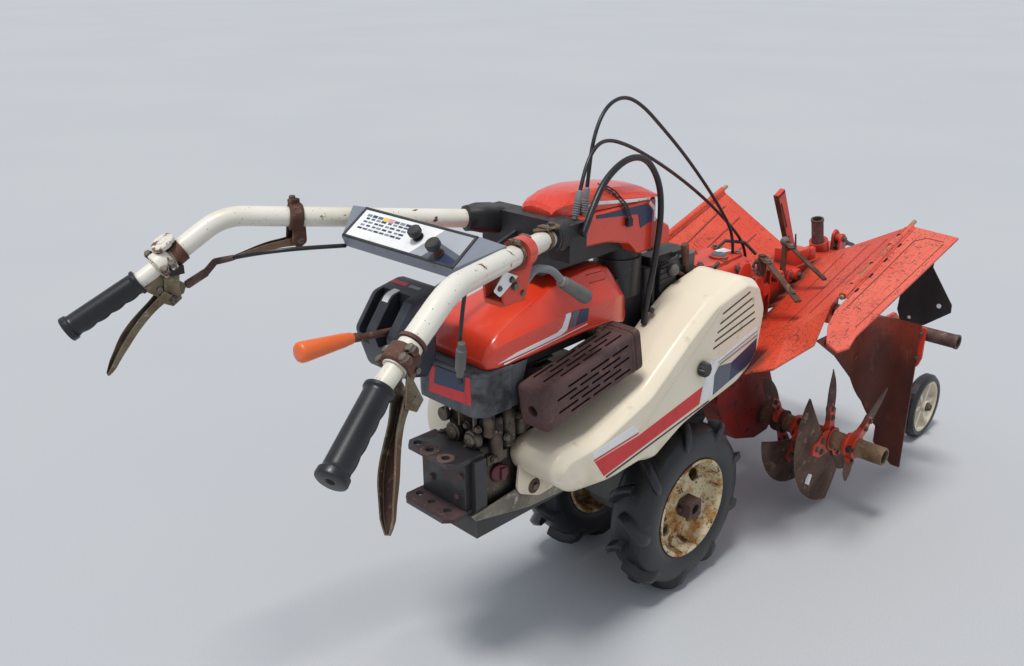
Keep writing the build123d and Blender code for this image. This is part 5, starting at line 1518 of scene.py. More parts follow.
def add_console_knobs():
    """The two knobs that stand on the console's slope."""
    knobs = Shape("black_plastic", HANDLE)
    for x, y, height, radius in ((609, 24, 20, 11), (624, 86, 27, 12)):
        share = (x - CONSOLE_TOP.x) / (CONSOLE_FOOT.x - CONSOLE_TOP.x)
        start = Vector((x, y, CONSOLE_TOP.z + (CONSOLE_FOOT.z - CONSOLE_TOP.z) * share))
        knobs.paint("brown_rust" if radius > 11 else "black_plastic")
        knobs.lathe([(0.5, 9), (3, 9), (4, 6), (height - 10, 6)], start, CONSOLE_UP, 28)
        knobs.paint("black_plastic").lathe([
            (height - 13, 6), (height - 11, radius - 1.5), (height - 9, radius), (height - 2, radius),
            (height - 0.3, radius - 1.6), (height, radius - 4),
        ], start, CONSOLE_UP, 32)
    knobs.make("console_caps", "handle", "black_plastic", ["console_knobs"], sharp=35)


add_console()
add_console_knobs()


# Gate of the orange lever
GATE_OUTLINE = [
    (500, 758), (540, 781), (600, 770), (643, 714), (619, 641), (570, 628), (548, 660), (548, 735),
]
GATE_SLOT = [(585, 800), (585, 700), (606, 690), (660, 690), (660, 800)]
GATE_STRUT = [(345.2, 806), (345.2, 836), (540, 778), (540, 752)]
GATE_LABELS = [
    ("print_white", [(580, -76), (608, -76), (608, -62), (580, -62)], 0.5),
    ("print_red", [(556, -108), (566, -108), (566, -66), (556, -66)], 0.4),
    ("print_grey", [(557, -60), (565, -60), (565, -34), (557, -34)], 0.4),
]


def add_lever_gate():
    """The gate with its two slots, on the strut that holds it."""
    shape = Shape("dark_plastic", HANDLE)
    steps = [(-112, 7), (-109, 2), (-103, 0), (-18, 0), (-12, 2), (-8, 8)]
    shape.shell(rounded(GATE_OUTLINE, 9, 4), steps, "y")
    shape.prism(GATE_STRUT, -24, -18, "y")
    # The slots' walls are painted near black, as shade.
    cuts = Shape("hole_shade", HANDLE)
    for low, high in ((-98, -80), (-58, -28)):
        cuts.plate(GATE_SLOT, 8, low, high, "y", 4)
    return shape.make(
        "gate_shell", "handle", "black_plastic", ["lever_gate"], cuts=cuts, bevel=2.2, segments=3,
    )


def add_gate_tongue():
    """The tongue between the gate's slots, and the stop beside it."""
    tongue = Shape("black_plastic", HANDLE)
    tongue.plate([(578, 760), (596, 758), (622, 716), (612, 690), (590, 690)], 6, -72, -62, "y", 4)
    tongue.paint("brown_rust").box((592, 606), (-56, -30), (694, 704))
    tongue.bolts((0.4, 0, 1), 6, 5, (604, -50, 704))
    tongue.make("gate_tongue", "handle", "black_plastic", bevel=1.5)


def add_orange_lever():
    lever = Shape("brown_rust", HANDLE)
    root, neck, end = Vector((590.2, -42, 715)), Vector((706, -42, 730)), Vector((805, -42, 735))
    lever.rod(root, along(neck, end, 0.3), 6)
    lever.lathe([(92, 6), (93, 7.6), (112, 7.6), (113, 6)], root, neck - root, 24)
    lever.paint("orange").lathe([
        (-8, 6.5), (-7, 9), (-3, 10), (3, 10.4), (8, 11.4), (55, 14.6), (84, 16.6), (90, 16.2), (93, 14),
        (94, 8),
    ], neck, end - neck, 40)
    lever.make("orange_lever", "handle", "orange_grip", ["clutch_lever"], sharp=45)


gate = add_lever_gate()
add_gate_tongue()
wrap("gate_labels", gate, "z", 900, GATE_LABELS, "handle", "white_paint", HANDLE)
add_orange_lever()


# Shift lever, cables' ends, boots, clamps and the cap
SHIFT_POINTS = ((535, 136, 779), (467, 136, 829), (426, 136, 816), (398, 136, 787))
SHIFT_PLATE_TOP = 848
# Rows along the far bar's boot: distance, half width and half height
BOOT_ROWS = (
    (-6, 22, 20), (-4, 25.5, 23), (6, 27, 24.5), (34, 27, 24.5), (44, 25.5, 23), (50, 23, 22), (64, 20, 20),
    (66, 17, 17),
)
CLAMP_CHANNEL = ((0, 8.5, 16), (0.3, 8, 12), (1, 3.4, 5))


def rounded_run(points, reach, steps=6):
    """A run of points whose inner corners are rounded."""
    result = [Vector(points[0])]
    for before, here, after in zip(points, points[1:], points[2:]):
        before, here, after = Vector(before), Vector(here), Vector(after)
        start = here + (before - here).normalized() * reach
        end = here + (after - here).normalized() * reach
        for step in range(steps + 1):
            share = step / steps
            result.append(start.lerp(here, share).lerp(here.lerp(end, share), share))
    return result + [Vector(points[-1])]


def add_shift_lever():
    shape = Shape("lever_grey", HANDLE)
    shape.tube(rounded_run([along(*SHIFT_POINTS[:2], 0.2), *SHIFT_POINTS[1:]], 16), 6.5, 20)
    start, end = Vector((399, 136, 788)), Vector((334, 136, 744))
    shape.paint("pale_plate").lathe([(-9, 7), (-8, 8.4), (-1, 8.6), (0, 7)], start, end - start, 28)
    shape.paint("case_grey").lathe([
        (-1, 8), (0, 10.4), (3, 11.2), (30, 11.8), (66, 13.2), (74, 12.6), (77.5, 10), (78.5, 5),
    ], start, end - start, 36)
    shape.make("bent_lever", "handle", "grey_plastic", ["shift_lever"], sharp=45)


def add_shift_plate():
    """The white plates on the shift gate, one with a plain pattern of grooves, and their bolts."""
    plate = Shape("print_white", HANDLE)
    top = SHIFT_PLATE_TOP
    plate.plate([(514, 121), (556, 121), (556, 151), (514, 151)], 4, top, top + 1, "z")
    print_height = (top + 0.8, top + 1.3)
    plate.paint("print_red").box((519, 551), (124, 127), print_height)
    plate.paint("print_dark")
    for x in (524, 534, 544):
        plate.box((x, x + 2.2), (130, 146), print_height)
    plate.box((524, 546), (137, 139), print_height)
    plate.bolts((0, 0, 1), 5, 4, (507, 126, top)).bolts((0, 0, 1), 4.5, 4, (560, 148, top))
    plate.bolts((0, 1, 0), 6, 5, (538, 158, 822)).bolts((0, 1, 0), 4, 3, (520, 158, 806))
    plate.paint("print_white").plate([(584, 824), (560, 850), (531, 836), (571, 812)], 3, 158, 159.4, "y")
    plate.bolts((0, 1, 0), 4.5, 4, (546, 159, 834)).bolts((0, 1, 0), 4, 3, (572, 159, 826))
    plate.make("shift_plate", "handle", "white_paint")


def add_bar_boots():
    """The ribbed boot at the near bar's root, and the square one at the far bar's."""
    rubber = Shape("black_plastic", HANDLE)
    profile = [(-2, 20)]
    for rib in range(8):
        profile += [(rib * 7, 22.5), (rib * 7 + 1.5, 25.2), (rib * 7 + 4.5, 25.2), (rib * 7 + 6, 22.5)]
    rubber.lathe(profile + [(62.5, 21), (63, 17)], BAR_ROOT, Vector(BAR_BOOT) - Vector(BAR_ROOT), 40)
    root = at_side(BAR_ROOT, -1)
    line = (at_side(BAR_BOOT, -1) - root).normalized()
    side = Vector((0, 0, 1)).cross(line).normalized()
    top = line.cross(side)
    rings = []
    for distance, wide, tall in BOOT_ROWS:
        corners = rounded([(-wide, -tall), (wide, -tall), (wide, tall), (-wide, tall)], 12, 4)
        rings.append([root + line * distance + side * w + top * t for w, t in corners])
    rubber.loft(rings)
    for low in (52, 56, 60):
        rubber.lathe([(low, 18), (low + 1, 22), (low + 2.4, 22), (low + 3, 18)], root, line, 32)
    rubber.make("bar_boots", "handle", "black_plastic", sharp=40)


def add_cable_ends():
    """The sleeves at the cables' upper ends, and the bracket that holds the far one."""
    ends = Shape("lever_grey")
    for node in ("cable_high", "cable_low"):
        start, after = (Vector(point) for point in ROUTES[node][1][:2])
        profile = [(-2, 4)]
        for rib in range(6):
            profile += [(4 + rib * 4, 5.2), (5 + rib * 4, 6.6), (7 + rib * 4, 6.6), (7.8 + rib * 4, 5.2)]
        ends.lathe(profile + [(30, 6.2), (46, 5.8), (48, 4)], start, after - start, 24)
    start, after = (Vector(point) for point in ROUTES["cable_lever"][1][:2])
    ends.paint("purple_steel")
    ends.lathe([(-3, 4.4), (0, 5.6), (26, 5.2), (40, 4.6), (41, 3.6)], start, after - start, 24)
    ends.lathe([(-2, 4.4), (0, 5.6), (22, 5.8), (25, 4)], start, (17, -2, -15), 24)
    ends.lathe([(-2, 5), (0, 6.8), (36, 7), (39, 5)], (814, -253, 811), (36, 0, -13), 24)
    bracket = [(849, 800), (856, 786), (878, 781), (897, 789), (916, 803), (914, 822), (878, 822)]
    ends.paint("bracket_rust").prism(bracket, -255, -252, "y")
    ends.bolts((0, 1, 0), 5, 3.4, (879, -252, 787), (895, -252, 801))
    ends.make("cable_ends", "handle", "grey_plastic", sharp=40)


def add_throttle_rod():
    rod = Shape("black_plastic", HANDLE)
    rod.tube(rounded_run([(606, 126, 846.5), (604, 112, 790), (600, 100, 735)], 20), 3.2, 12)
    grip = [(0, 4), (1, 6), (12, 6.4), (14, 8.6), (52, 8.6), (54, 6.5), (66, 6), (68, 3)]
    rod.paint("case_grey").lathe(grip, (604, 108, 735), (-8, -14, -58), 28)
    rod.make("throttle_wire", "handle", "black_plastic", ["throttle_rod"], sharp=40)


def add_far_clamp():
    """The clamp on the far bar, with its hanging ears and its small lever."""
    shape = Shape("lever_rust", HANDLE)
    knee, bend = at_side(BAR_KNEE, -1), at_side(BAR_BEND, -1)
    middle = along(knee, bend, 0.715)
    x, y, z = middle
    band = [(-11, 17), (-11, 21), (-9, 23), (9, 23), (11, 21), (11, 17)]
    shape.paint("brown_rust").lathe(band, middle, (bend - knee).normalized(), 36)
    shape.box((x - 8, x + 9), (y - 5, y + 5), (z + 18, z + 30))
    shape.bolts((0, 0, 1), 5.5, 5, (x, y - 4, z + 29))
    ear = [(x - 12, z - 14), (x + 12, z - 14), (x + 16, z - 42), (x + 4, z - 52), (x - 12, z - 44)]
    for off in (-9, 9):
        shape.plate(ear, 5, y + off - 1.5, y + off + 1.5, "y")
    shape.bolts((0, 1, 0), 5, 4, (x + 2, y + 10.5, z - 38)).paint("lever_rust")
    channel(shape, (x - 4, y, z - 40), (x + 104, y - 38, z - 56), (0, 0, 1), CLAMP_CHANNEL, 3)
    shape.make("far_clamp", "handle", "rusty_steel", ["bar_clamp"], sharp=35)


def add_bar_bands():
    """Three bands on the near bar, with their ears, bolts and two small plates."""
    near = Shape("lever_rust", HANDLE)
    knee, bend = Vector(BAR_KNEE), Vector(BAR_BEND)
    line = (bend - knee).normalized()
    for share, half in ((0.03, 7), (0.27, 5), (0.39, 5)):
        middle = along(knee, bend, share)
        near.lathe([(-half, 16.8), (-half, 18.6), (half, 18.6), (half, 16.8)], middle, line, 36)
        x, y, z = middle + Vector((0, 0, 21))
        near.box((x - half, x + half), (y - 7, y + 7), (z - 5, z + 4))
        near.bolts((0, 1, 0), 4.5, 4, (x, y + 7, z))
    x, y, z = along(knee, bend, 0.03)
    near.plate([(x - 34, y - 8), (x + 22, y - 4), (x + 20, y + 8), (x - 30, y + 12)], 4, z + 19, z + 22, "z")
    near.plate([(x - 34, z + 20), (x - 22, z + 20), (x - 40, z - 26), (x - 52, z - 22)], 4, y + 2, y + 5, "y")
    near.bolts((0, 0, 1), 6, 5, (x - 18, y + 2, z + 22))
    near.make("bar_bands", "handle", "rusty_steel", sharp=35)


def add_bar_button():
    """The round white cap on the far bar, on its band."""
    cap = Shape("white_cap", HANDLE)
    bend, inner = at_side(BAR_BEND, -1), at_side(GRIP_INNER, -1)
    line = (inner - bend).normalized()
    out = Vector((-line.z, 0, line.x)).normalized()
    middle = along(bend, inner, 0.6)
    x, y, z = middle
    cap.paint("brown_rust").lathe([(-17, 17), (-17, 20), (0, 20.5), (0, 17)], middle, line, 36)
    cap.paint("black_iron").rod(middle + out * 14, middle + out * 24, 9)
    cap.paint("white_cap").lathe([
        (22, 15), (22.5, 18.5), (24, 19.4), (29, 19.4), (30.4, 18), (30.6, 15), (29.6, 13), (29.4, 8),
        (31, 6.5), (31.4, 3),
    ], middle, out, 44)
    cap.paint("black_plastic").box((x - 4, x + 18), (y + 12, y + 24), (z - 26, z - 12))
    cap.make("bar_button", "handle", "white_paint", ["bar_cap"], sharp=35)


add_shift_lever()
add_shift_plate()
add_bar_boots()
add_cable_ends()
add_throttle_rod()
add_far_clamp()
add_bar_bands()
add_bar_button()


# Rear: drive case, beam, hood and wings
CASE_TOP = 660
# Bosses on the near side: X, Z, radius and the Y of their faces
CASE_BOSSES = ((-297, 622, 27, 67), (-250, 560, 34, 66), (-366, 574, 24, 62), (-404, 556, 17, 60))


def add_drive_case():
    shape = Shape("red_worn")
    front = rounded([(-58, 430), (58, 430), (58, 655), (-58, 655)], 22, 4)
    shape.shell(front, [(-150, 5), (-153, 1), (-157, 0), (-318, 0), (-326, 3), (-330, 9)], "x")
    back = rounded([(-48, 470), (48, 470), (48, 606), (-48, 606)], 16, 4)
    shape.shell(back, [(-328, 0), (-430, 0), (-438, 3), (-442, 8)], "x")
    lid = [(-324, -40), (-324, 42), (-206, 50), (-170, 30), (-170, -30), (-206, -46)]
    shape.plate(lid, 14, 652, CASE_TOP, "z", 4)
    for x, y in ((-312, -30), (-312, 32), (-244, 42), (-182, 22), (-182, -22), (-244, -38)):
        shape.lathe([(0, 8), (2, 8), (2.4, 6)], (x, y, CASE_TOP), (0, 0, 1), 20)
        shape.bolts((0, 0, 1), 5.5, 4, (x, y, CASE_TOP + 2))
    for x, z, radius, end in CASE_BOSSES:
        face = end - 44
        boss = [(0, radius + 3), (4, radius), (face - 4, radius), (face - 1, radius - 3), (face, radius - 10)]
        shape.lathe(boss, (x, 44, z), (0, 1, 0), 36)
    for x in (-340, -352, -384, -424):
        shape.box((x - 3, x + 3), (46, 56), (486, 598))
    shape.box((-320, -160), (56, 62), (600, 608))
    for x, z in ((-322, 600), (-272, 640), (-222, 560), (-180, 620), (-180, 480), (-390, 596), (-340, 500)):
        shape.bolts((0, 1, 0), 6, 5, (x, 58 if x > -330 else 52, z))
    cap = (-258, 18, CASE_TOP - 1)
    shape.lathe([(0, 21), (5, 21), (7, 18)], cap, (0, 0, 1), 36)
    shape.paint("bolt").lathe([(5, 17), (8, 17), (8.6, 15)], cap, (0, 0, 1), 36)
    shape.paint("print_slate").lathe([(7, 14.5), (9, 14.5), (9.4, 8)], cap, (0, 0, 1), 32)
    label = [(-322, -14), (-320, 12), (-288, 8), (-290, -16)]
    shape.paint("print_white").plate(label, 3, CASE_TOP, CASE_TOP + 1, "z")
    shape.make("case_shell", "chassis", "red_paint", ["drive_case"], bevel=1.0, sharp=35)


def add_hood_apron():
    """The folded plate between the case and the hood."""
    apron = Shape("red_worn")
    apron.prism([(-208, 540), (-208, 612), (-300, 592), (-330, 545)], 92, 96, "y")
    apron.prism([(-330, 62), (-208, 62), (-208, 96), (-330, 96)], 536, 541, "z")
    apron.make("hood_apron", "chassis", "red_paint", bevel=0.8)


def flat_bar(shape, points, wide, thick):
    """A flat bar lying level along points."""
    rings = []
    for index, point in enumerate(points):
        here = Vector(point)
        ahead = Vector(points[min(index + 1, len(points) - 1)]) - Vector(points[max(index - 1, 0)])
        side = Vector((-ahead.y, ahead.x, 0)).normalized() * wide / 2
        rise = Vector((0, 0, thick / 2))
        rings.append([here + side + rise, here - side + rise, here - side - rise, here + side - rise])
    shape.loft(rings)


def add_control_bars(shape):
    """The two flat bars on the case with their pins, a knob, and a coil beside them."""
    flat_bar(shape, [(-352, 70, 650), (-340, 98, 642), (-322, 160, 604), (-312, 192, 585)], 17, 5)
    flat_bar(shape, [(-492, 48, 650), (-481, 74, 642), (-462, 140, 614), (-452, 176, 598)], 12, 5)
    for place, size, height in (((-340, 92, 646), 8, 6), ((-481, 70, 646), 7, 6), ((-318, 172, 600), 5, 4)):
        shape.bolts((0, 0, 1), size, height, place)
    knob = [(-9, 6), (-6, 10), (0, 12), (6, 10), (9, 5)]
    shape.paint("case_grey").lathe(knob, (-494, 44, 652), (-0.4, -1, 0.2), 24)
    shape.paint("brown_rust").rod((-352, 70, 606), (-352, 70, 656), 8)
    shape.rod((-492, 46, 566), (-492, 46, 652), 7)
    shape.paint("black_iron")
    for radius, rise in ((26, 0), (17, 8)):
        shape.tube([
            (-392 + radius * cos(turn), 52 + radius * 0.8 * sin(turn), 622 + rise + 6 * sin(2 * turn))
            for turn in full_turn(20)[:-1]
        ], 3.4, 10)
    shape.rod((-392, 52, 600), (-392, 52, 636), 7)
    shape.tube([(-300, -20, 660), (-330, -14, 676), (-372, 10, 668), (-392, 30, 640)], 4, 10)


def add_beam_bosses(shape):
    """The bosses and the small plates on the beam's near side."""
    shape.paint("red_worn")
    bosses = ((-455, 40, 578, 26), (-520, 38, 560, 16), (-560, 38, 556, 14), (-690, 38, 556, 14))
    for x, y, z, reach in bosses:
        shape.lathe([(-4, 15), (reach - 3, 15), (reach, 12)], (x, y, z), (0, 1, 0), 28)
        shape.bolts((0, 1, 0), 6, 5, (x, y + reach, z))
    for outline, low, high in (
        ([(-470, 566), (-440, 566), (-436, 604), (-460, 606)], 20, 40),
        ([(-676, 566), (-648, 566), (-652, 600), (-668, 602)], 24, 32),
        ([(-800, 560), (-768, 566), (-768, 610), (-784, 622), (-802, 606)], 20, 27),
        ([(-800, 560), (-768, 566), (-768, 604), (-784, 614), (-802, 600)], 40, 46),
    ):
        shape.plate(outline, 6, low, high, "y")


def add_beam_end(shape):
    """The pins at the beam's rear end, and the collar of the depth tube."""
    shape.lathe([(0, 12), (24, 12), (26, 9)], (-786, 18, 598), (0, 1, 0), 24)
    shape.bolts((0, 1, 0), 7, 6, (-786, 46, 598)).bolts((0, 1, 0), 5, 4, (-776, 27, 578))
    handle = [(0, 8), (34, 8), (36, 5.5), (64, 5), (76, 2.5)]
    shape.paint("black_iron").lathe(handle, (-796, 30, 588), (-0.86, 0.1, -0.3), 20)
    collar = [(78, 12.5), (78, 16.4), (84.4, 16.4), (84.4, 12.5)]
    shape.paint("purple_steel").lathe(collar, (-742, 0, 573), (13, 0, 56), 36, True)


def add_upright_wear(shape):
    """The upright bar's rusty edge, and the worn patches on its near side."""
    edge = [(-595.4, 590), (-509.6, 752), (-507.8, 750.6), (-593.6, 588.8)]
    shape.paint("brown_rust").prism(edge, -7, 7, "y")
    for outline, high in (
        ([(-622, 590), (-612, 590), (-606, 640), (-612, 640)], 7),
        ([(-536, 762), (-510, 750), (-511, 745), (-538, 757)], 7),
        ([(-595, 600), (-572, 640), (-577, 642), (-600, 604)], 7),
        ([(-560, 664), (-524, 730), (-528, 732), (-565, 668)], 6.8),
    ):
        shape.prism(outline, 5.6, high, "y")


def add_beam_fittings():
    shape = Shape("brown_rust")
    add_control_bars(shape)
    add_beam_bosses(shape)
    add_beam_end(shape)
    add_upright_wear(shape)
    shape.make("beam_fittings", "chassis", "rusty_steel", bevel=0.7, sharp=35)


HINGE_Y = 258
HINGE_FRONT = -372
HOOD_BACK = -676
HINGE_HEIGHT = 695
HINGE_SLOPE = 0.33
WING_BEND = ((-346, 284), (-470, 289), (-624, 292), (-646, 312), (-648, 350))
WING_EDGE = ((-300, 332), (-640, 352))
GROOVES = (((-320, 168), (-646, 178)), ((-340, 206), (-640, 222)), ((-470, 120), (-640, 122)))


def hinge_z(x):
    """The height of a hinge, which falls towards the front."""
    return HINGE_HEIGHT + HINGE_SLOPE * (HOOD_BACK - x)


def hinge_cover(finish, side, section):
    """A folded strip along a hinge, from its section of (out, up)."""
    shape = Shape(finish)
    shape.loft([
        [(x, side * (HINGE_Y + out), hinge_z(x) + up) for out, up in section]
        for x in (HOOD_BACK + 3, HINGE_FRONT - 4)
    ])
    return shape


def arc(radius, first, last, steps=12):
    """Points on an arc between two angles in degrees."""
    turns = [radians(first + (last - first) * number / steps) for number in range(steps + 1)]
    return [(radius * cos(turn), radius * sin(turn)) for turn in turns]


def add_hinge_covers():
    """The lip on the left wing's hinge, and the strip over the right one."""
    lip = hinge_cover("red_faded", 1, arc(9, 72, 4) + [(13.5, -0.3), (13.5, 1.2)] + arc(10.3, 9, 72))
    lip.make("wing_lip", "left_wing", "red_paint", sharp=40)
    cover = hinge_cover("red_scratched", -1, arc(9, 84, 190) + [(-13, -6), (-13, -4.4)] + arc(10.3, 184, 84))
    cover.make("hinge_strip", "chassis", "red_paint", sharp=40)


def add_wing_marks():
    """The left wing's pressed lines and the slots along its hinge, drawn as dark lines and patches of painted
    shade.
    """
    # Painted shade: dark red lines along the wing's bend and near its edge.
    marks = [("dark_red", strip(start, end, 2.4), 0.4) for start, end in zip(WING_BEND, WING_BEND[1:])]
    marks.append(("dark_red", strip(*WING_EDGE, 1.6), 0.4))
    # Painted shade: near-black patches where the slots along the hinge are.
    for x in (-596, -533, -469, -410):
        marks.append(("hole_shade", rounded([(x - 8, 271), (x + 8, 270), (x + 8, 275), (x - 8, 276)], 2.4, 3), 0.5))
    wrap("wing_marks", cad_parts["wing_left"], "z", 1200, marks, "left_wing", "red_paint", step=10)


def add_hood_grooves():
    """The grooves in both halves of the hood, each drawn as a dark line of painted shade beside a pale line
    of painted highlight.
    """
    grooves = []
    for side in (1, -1):
        for line in GROOVES:
            ends = [(x, side * y) for x, y in line]
            # Painted shade: the groove's dark side.
            grooves.append(("dark_red", strip(*ends, 3), 0.4))
            # Painted highlight: a pale line beside the dark one.
            pale = [(x, y + side * 3) for x, y in ends]
            grooves.append(("red_faded", strip(*pale, 2), 0.5))
    wrap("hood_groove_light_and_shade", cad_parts["hood"], "z", 1200, grooves, "chassis", "red_paint", step=10)


def add_flap_holes():
    holes = Shape("panel_white")
    holes.lathe([(-1, 5.5), (0.6, 5.5)], (-665, 355.6, 525), (1, 0, 0), 20)
    holes.lathe([(-1, 4), (0.6, 4)], (-665, 291.5, 481), (1, 0, 0), 20)
    holes.make("flap_holes", "left_wing", "flap_rubber")


def add_gear_stick():
    shape = Shape("brown_rust")
    stick = [(0, 5), (28, 5), (29, 7.6), (70, 8.4), (75, 7.6), (76, 4)]
    shape.lathe(stick, (-88, 53, 664), (18, 4, 74), 24)
    shape.rod((-76, 53, 668), (-36, 59, 690), 5)
    shape.box((-100, -70), (46.5, 59), (650, 670))
    ball = [(-13, 4), (-11, 8), (-6, 12), (0, 13.4), (6, 12), (11, 8), (13, 4)]
    shape.paint("case_grey").lathe(ball, (-29, 60, 693), (0.9, 0.1, 0.4), 28)
    shape.make("gear_stick", "chassis", "rusty_steel", ["gear_lever"], sharp=40)


def add_post_fittings():
    """The black plates, the vented cover and the wires round the handle's post."""
    panels = Shape("black_plastic")
    panels.plate([(-118, -34), (-60, -34), (-60, 34), (-118, 34)], 6, 705, 716, "z")
    panels.plate([(-50, 10), (20, 10), (20, 44), (-50, 44)], 6, 705, 724, "z")
    panels.plate([(-44, 46), (8, 46), (8, 58), (-44, 58)], 3, 640, 700, "z")
    for z in (652, 664, 676, 688):
        panels.box((-42, 6), (57, 60), (z, z + 3))
    panels.tube([(0, 50, 700), (-12, 62, 712), (-40, 60, 716), (-60, 48, 712)], 4, 10)
    panels.tube([(20, 40, 720), (34, 58, 700), (36, 60, 660), (30, 58, 620)], 3.4, 10)
    panels.make("post_fittings", "chassis", "black_plastic", bevel=1.0)


# Tail
def add_tail():
    """The gauge arm's plate and cap, the mouldboard's bolts and the cross tube's collar."""
    shape = Shape("red_worn")
    shape.plate([(262, 410), (284, 412), (284, 330), (276, 306), (262, 300)], 5, -806, -800, "x")
    shape.bolts((1, 0, 0), 5, 4, (-800, 274, 396), (-800, 272, 330))
    shape.paint("mouldboard")
    for x, y, z in ((-640, 149, 400), (-560, 146, 405), (-720, 150, 320)):
        shape.lathe([(0, 9), (2, 9), (4.5, 6), (5, 3)], (x, y + 1, z), (0, 1, 0), 24)
    cap = [(-3, 13), (2, 13), (4, 10), (10, 9), (11, 6)]
    shape.paint("purple_steel").lathe(cap, (-1045, 228, 92), (0, 1, 0), 24)
    shape.lathe([(0, 14), (0, 18.6), (6.4, 18.6), (6.4, 14)], (-832, 348, 386), (0, 1, 0), 36, True)
    shape.make("tail_fittings", "chassis", "red_paint", sharp=40)


# Rotor, drawn about Y at its shaft
ROTOR = Matrix.Translation((-505, 0, 190))
# Blades: place along the shaft, angle, kind and share of the full reach
TINES = (
    (76, 200, "leaf", 1), (76, 34, "leaf", 1), (132, 42, "crescent", 1), (132, 206, "leaf", 0.62),
    (206, 0, "crescent", 1), (206, 4, "leaf", 1), (206, 220, "leaf", 0.94), (268, -58, "leaf", 1),
    (268, 171, "leaf", 0.5),
)
SLEEVES = (76, 132, 206, 268)
# Rows out from the shaft: distance, half width and half thickness of a leaf's holder
LEAF_HOLDER = ((18, 17, 9), (40, 12, 7), (64, 13, 6), (84, 12, 5.5), (96, 6, 4))
CRESCENT_HOLDER = ((16, -30), (16, 30), (58, 26), (92, 10), (92, -12), (58, -30))


def through(first, middle, last, steps=20):
    """Points on the arc through three points."""
    a, b, c = Vector(first), Vector(middle), Vector(last)
    d = 2 * (a.x * (b.y - c.y) + b.x * (c.y - a.y) + c.x * (a.y - b.y))
    x = (a.dot(a) * (b.y - c.y) + b.dot(b) * (c.y - a.y) + c.dot(c) * (a.y - b.y)) / d
    y = (a.dot(a) * (c.x - b.x) + b.dot(b) * (a.x - c.x) + c.dot(c) * (b.x - a.x)) / d
    middle, arm = Vector((x, y)), a - Vector((x, y))
    full = arm.angle_signed(c - middle)
    half = arm.angle_signed(b - middle)
    if full * half < 0:
        full -= 2 * pi if full > 0 else -2 * pi
    return [middle + Matrix.Rotation(-full * n / steps, 2) @ arm for n in range(steps + 1)]


# A blade's outer and inner edge, each as three points of an arc, and how far it is dished
TINE_EDGES = {
    "crescent": (((116, 142), (146, -16), (-24, -182)), ((116, 142), (30, 4), (-68, -116)), 12),
    "leaf": (((-18, 50), (-27, 116), (4, 186)), ((14, 50), (24, 108), (4, 186)), 7),
}


def tine_place(y, angle, side):
    return Matrix.Translation((0, side * y, 0)) @ Matrix.Rotation(radians(angle), 4, "Y")


def add_tine(shape, place, kind, reach, side):
    """One blade between its two edges, dished across and thin towards its ends."""
    outer, inner, dish = TINE_EDGES[kind]
    rings = []
    edges = list(zip(through(*outer), through(*inner)))
    for number, (edge, root) in enumerate(edges):
        along_it = number / (len(edges) - 1)
        full = sin(pi * min(1, max(0.02, along_it))) ** 0.5
        front, back = [], []
        for share, half in ((0, 0.7), (0.3, 2.6), (0.7, 3), (1, 1.8)):
            point = edge.lerp(root, share) * reach
            deep = side * (dish * (1 - (1 - share) ** 2) - dish * 0.5) * full
            thick = half * (0.4 + 0.6 * full)
            front.append(place @ Vector((point.x, deep + thick, point.y)))
            back.append(place @ Vector((point.x, deep - thick, point.y)))
        rings.append(front + back[::-1])
    shape.loft(rings)


def add_holder(shape, place, kind, reach, side):
    """The red holder that carries one blade, with its bolts."""
    shape.paint("red_holder")
    if kind == "leaf":
        rings = []
        for z, wide, thick in LEAF_HOLDER:
            corners = ((-wide, -thick), (wide, -thick), (wide, thick), (-wide, thick))
            rings.append([place @ Vector((x + 4 * sin(z / 12), y, z * reach)) for x, y in corners])
        shape.loft(rings)
        for z in (56, 80):
            shape.bolts((0, side, 0), 6, 5, place @ Vector((0, side * 6, z * reach)))
        return
    shape.loft([
        [place @ Vector((x * (reach if x > 20 else 1), side * off, z)) for x, z in CRESCENT_HOLDER]
        for off in (4.4, 12)
    ])
    for x, z in ((52, 14), (52, -16), (76, 0)):
        shape.bolts((0, side, 0), 6.5, 6, place @ Vector((x * reach, side * 12, z)))


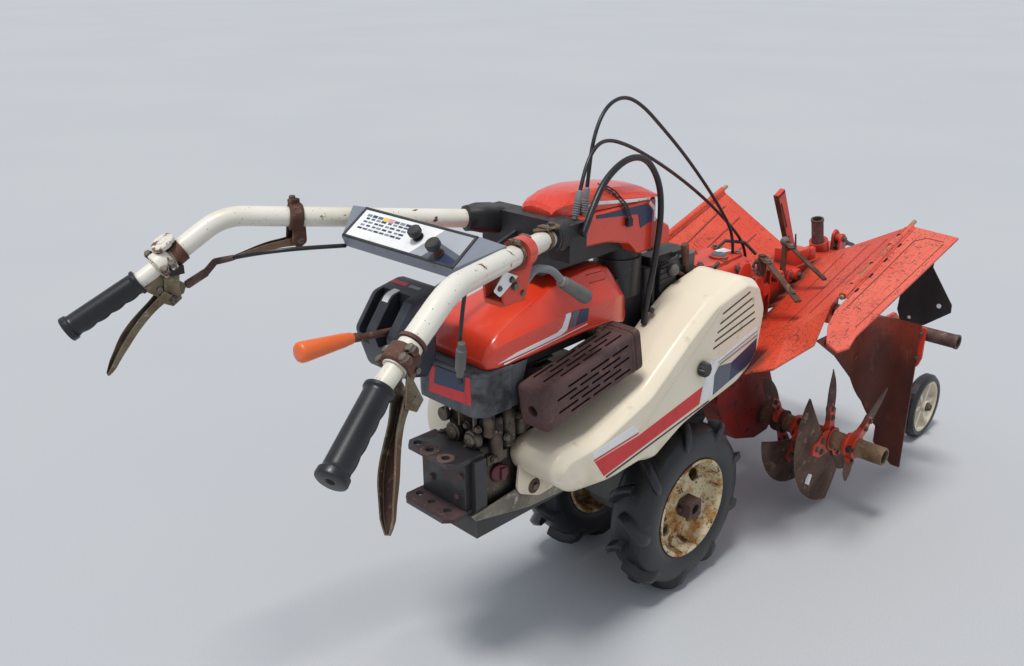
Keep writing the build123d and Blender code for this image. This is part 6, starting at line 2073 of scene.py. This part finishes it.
def add_rotor():
    tines, shaft = Shape("blade_steel", ROTOR), Shape("tube_steel", ROTOR)
    tube = [(26.5, 22), (346, 22), (349, 21.4), (350, 19.5), (350, 17.5), (338, 16.5)]
    for side in (1, -1):
        shaft.paint("tube_steel").lathe(tube, (0, 0, 0), (0, side, 0), 44)
        # A near-black plug in the tube's open end: painted shade.
        shaft.paint("hole_shade").lathe([(337, 16), (338.6, 16)], (0, 0, 0), (0, side, 0), 30)
        for y in SLEEVES:
            sleeve = [
                (y - 16, 24), (y - 14, 28.5), (y - 6, 30), (y - 3, 28), (y + 9, 28.6), (y + 14, 30),
                (y + 16, 24),
            ]
            shaft.paint("red_holder" if y > 76 else "brown_rust")
            shaft.lathe(sleeve, (0, 0, 0), (0, side, 0), 40)
            start = Matrix.Rotation(radians(y * 3), 3, "Y") @ Vector((0, 0, 27))
            shaft.paint("black_iron").bolt(start + Vector((0, side * (y + 8), 0)), start, 8, 9)
        for y, angle, kind, reach in TINES:
            place = tine_place(y, angle if side > 0 else angle + 90, side)
            add_tine(tines, place, kind, reach, side)
            add_holder(shaft, place, kind, reach, side)
    label = ((84, -96), (94, -90), (84, -66), (74, -72))
    tines.paint("print_white").loft([[(x, 206 + off, z) for x, z in label] for off in (0.5, 7.2)])
    tines.make("tines", "rotor", "worn_steel", ["rotor_blades"], sharp=35)
    shaft.make("rotor_tube", "rotor", "worn_steel", ["rotor_shaft"], bevel=0.8, sharp=35)


add_drive_case()
add_hood_apron()
add_beam_fittings()
add_hinge_covers()
add_wing_marks()
add_hood_grooves()
add_flap_holes()
add_gear_stick()
add_post_fittings()
add_tail()
add_rotor()


# Light and floor
FLOOR_SIZE = 160
FLOOR_TONE = (184, 187, 190)
SUN_PLACE = Vector((1.2, 0.2, 4))
SUN_ENERGY = 2.35
SUN_SPREAD = 14
SUN_COLOUR = (1.0, 0.98, 0.95)
SKY_TONE = (232, 238, 248)
SKY_STRENGTH = 0.62


def add_floor():
    skin = Finish("floor", FLOOR_TONE, roughness=0.9)
    skin.layer(skin.patches(0.5, 0.3, 0.75, detail=2), (180, 183, 187))
    skin.layer(skin.patches(260, 0.45, 0.65, detail=3), (178, 181, 184))
    material = skin.done()
    data = bpy.data.meshes.new("floor")
    half = FLOOR_SIZE / 2
    corners = [(-half, -half, 0), (half, -half, 0), (half, half, 0), (-half, half, 0)]
    data.from_pydata(corners, [], [(0, 1, 2, 3)])
    data.materials.append(material)
    floor = bpy.data.objects.new("floor", data)
    bpy.context.scene.collection.objects.link(floor)


def add_sun():
    """A soft sun that shines at the origin."""
    data = bpy.data.lights.new("soft_sun", "SUN")
    data.energy = SUN_ENERGY
    data.color = SUN_COLOUR
    data.angle = radians(SUN_SPREAD)
    lamp = bpy.data.objects.new("soft_sun", data)
    turn = (-SUN_PLACE).to_track_quat("-Z", "Y").to_matrix().to_4x4()
    lamp.matrix_world = Matrix.Translation(SUN_PLACE) @ turn
    bpy.context.scene.collection.objects.link(lamp)


def add_world():
    world = bpy.data.worlds.new("sky")
    world.use_nodes = True
    background = world.node_tree.nodes["Background"]
    background.inputs["Color"].default_value = srgb(*SKY_TONE)
    background.inputs["Strength"].default_value = SKY_STRENGTH
    bpy.context.scene.world = world


add_floor()
add_world()
add_sun()
bpy.context.scene.view_settings.view_transform = "Standard"
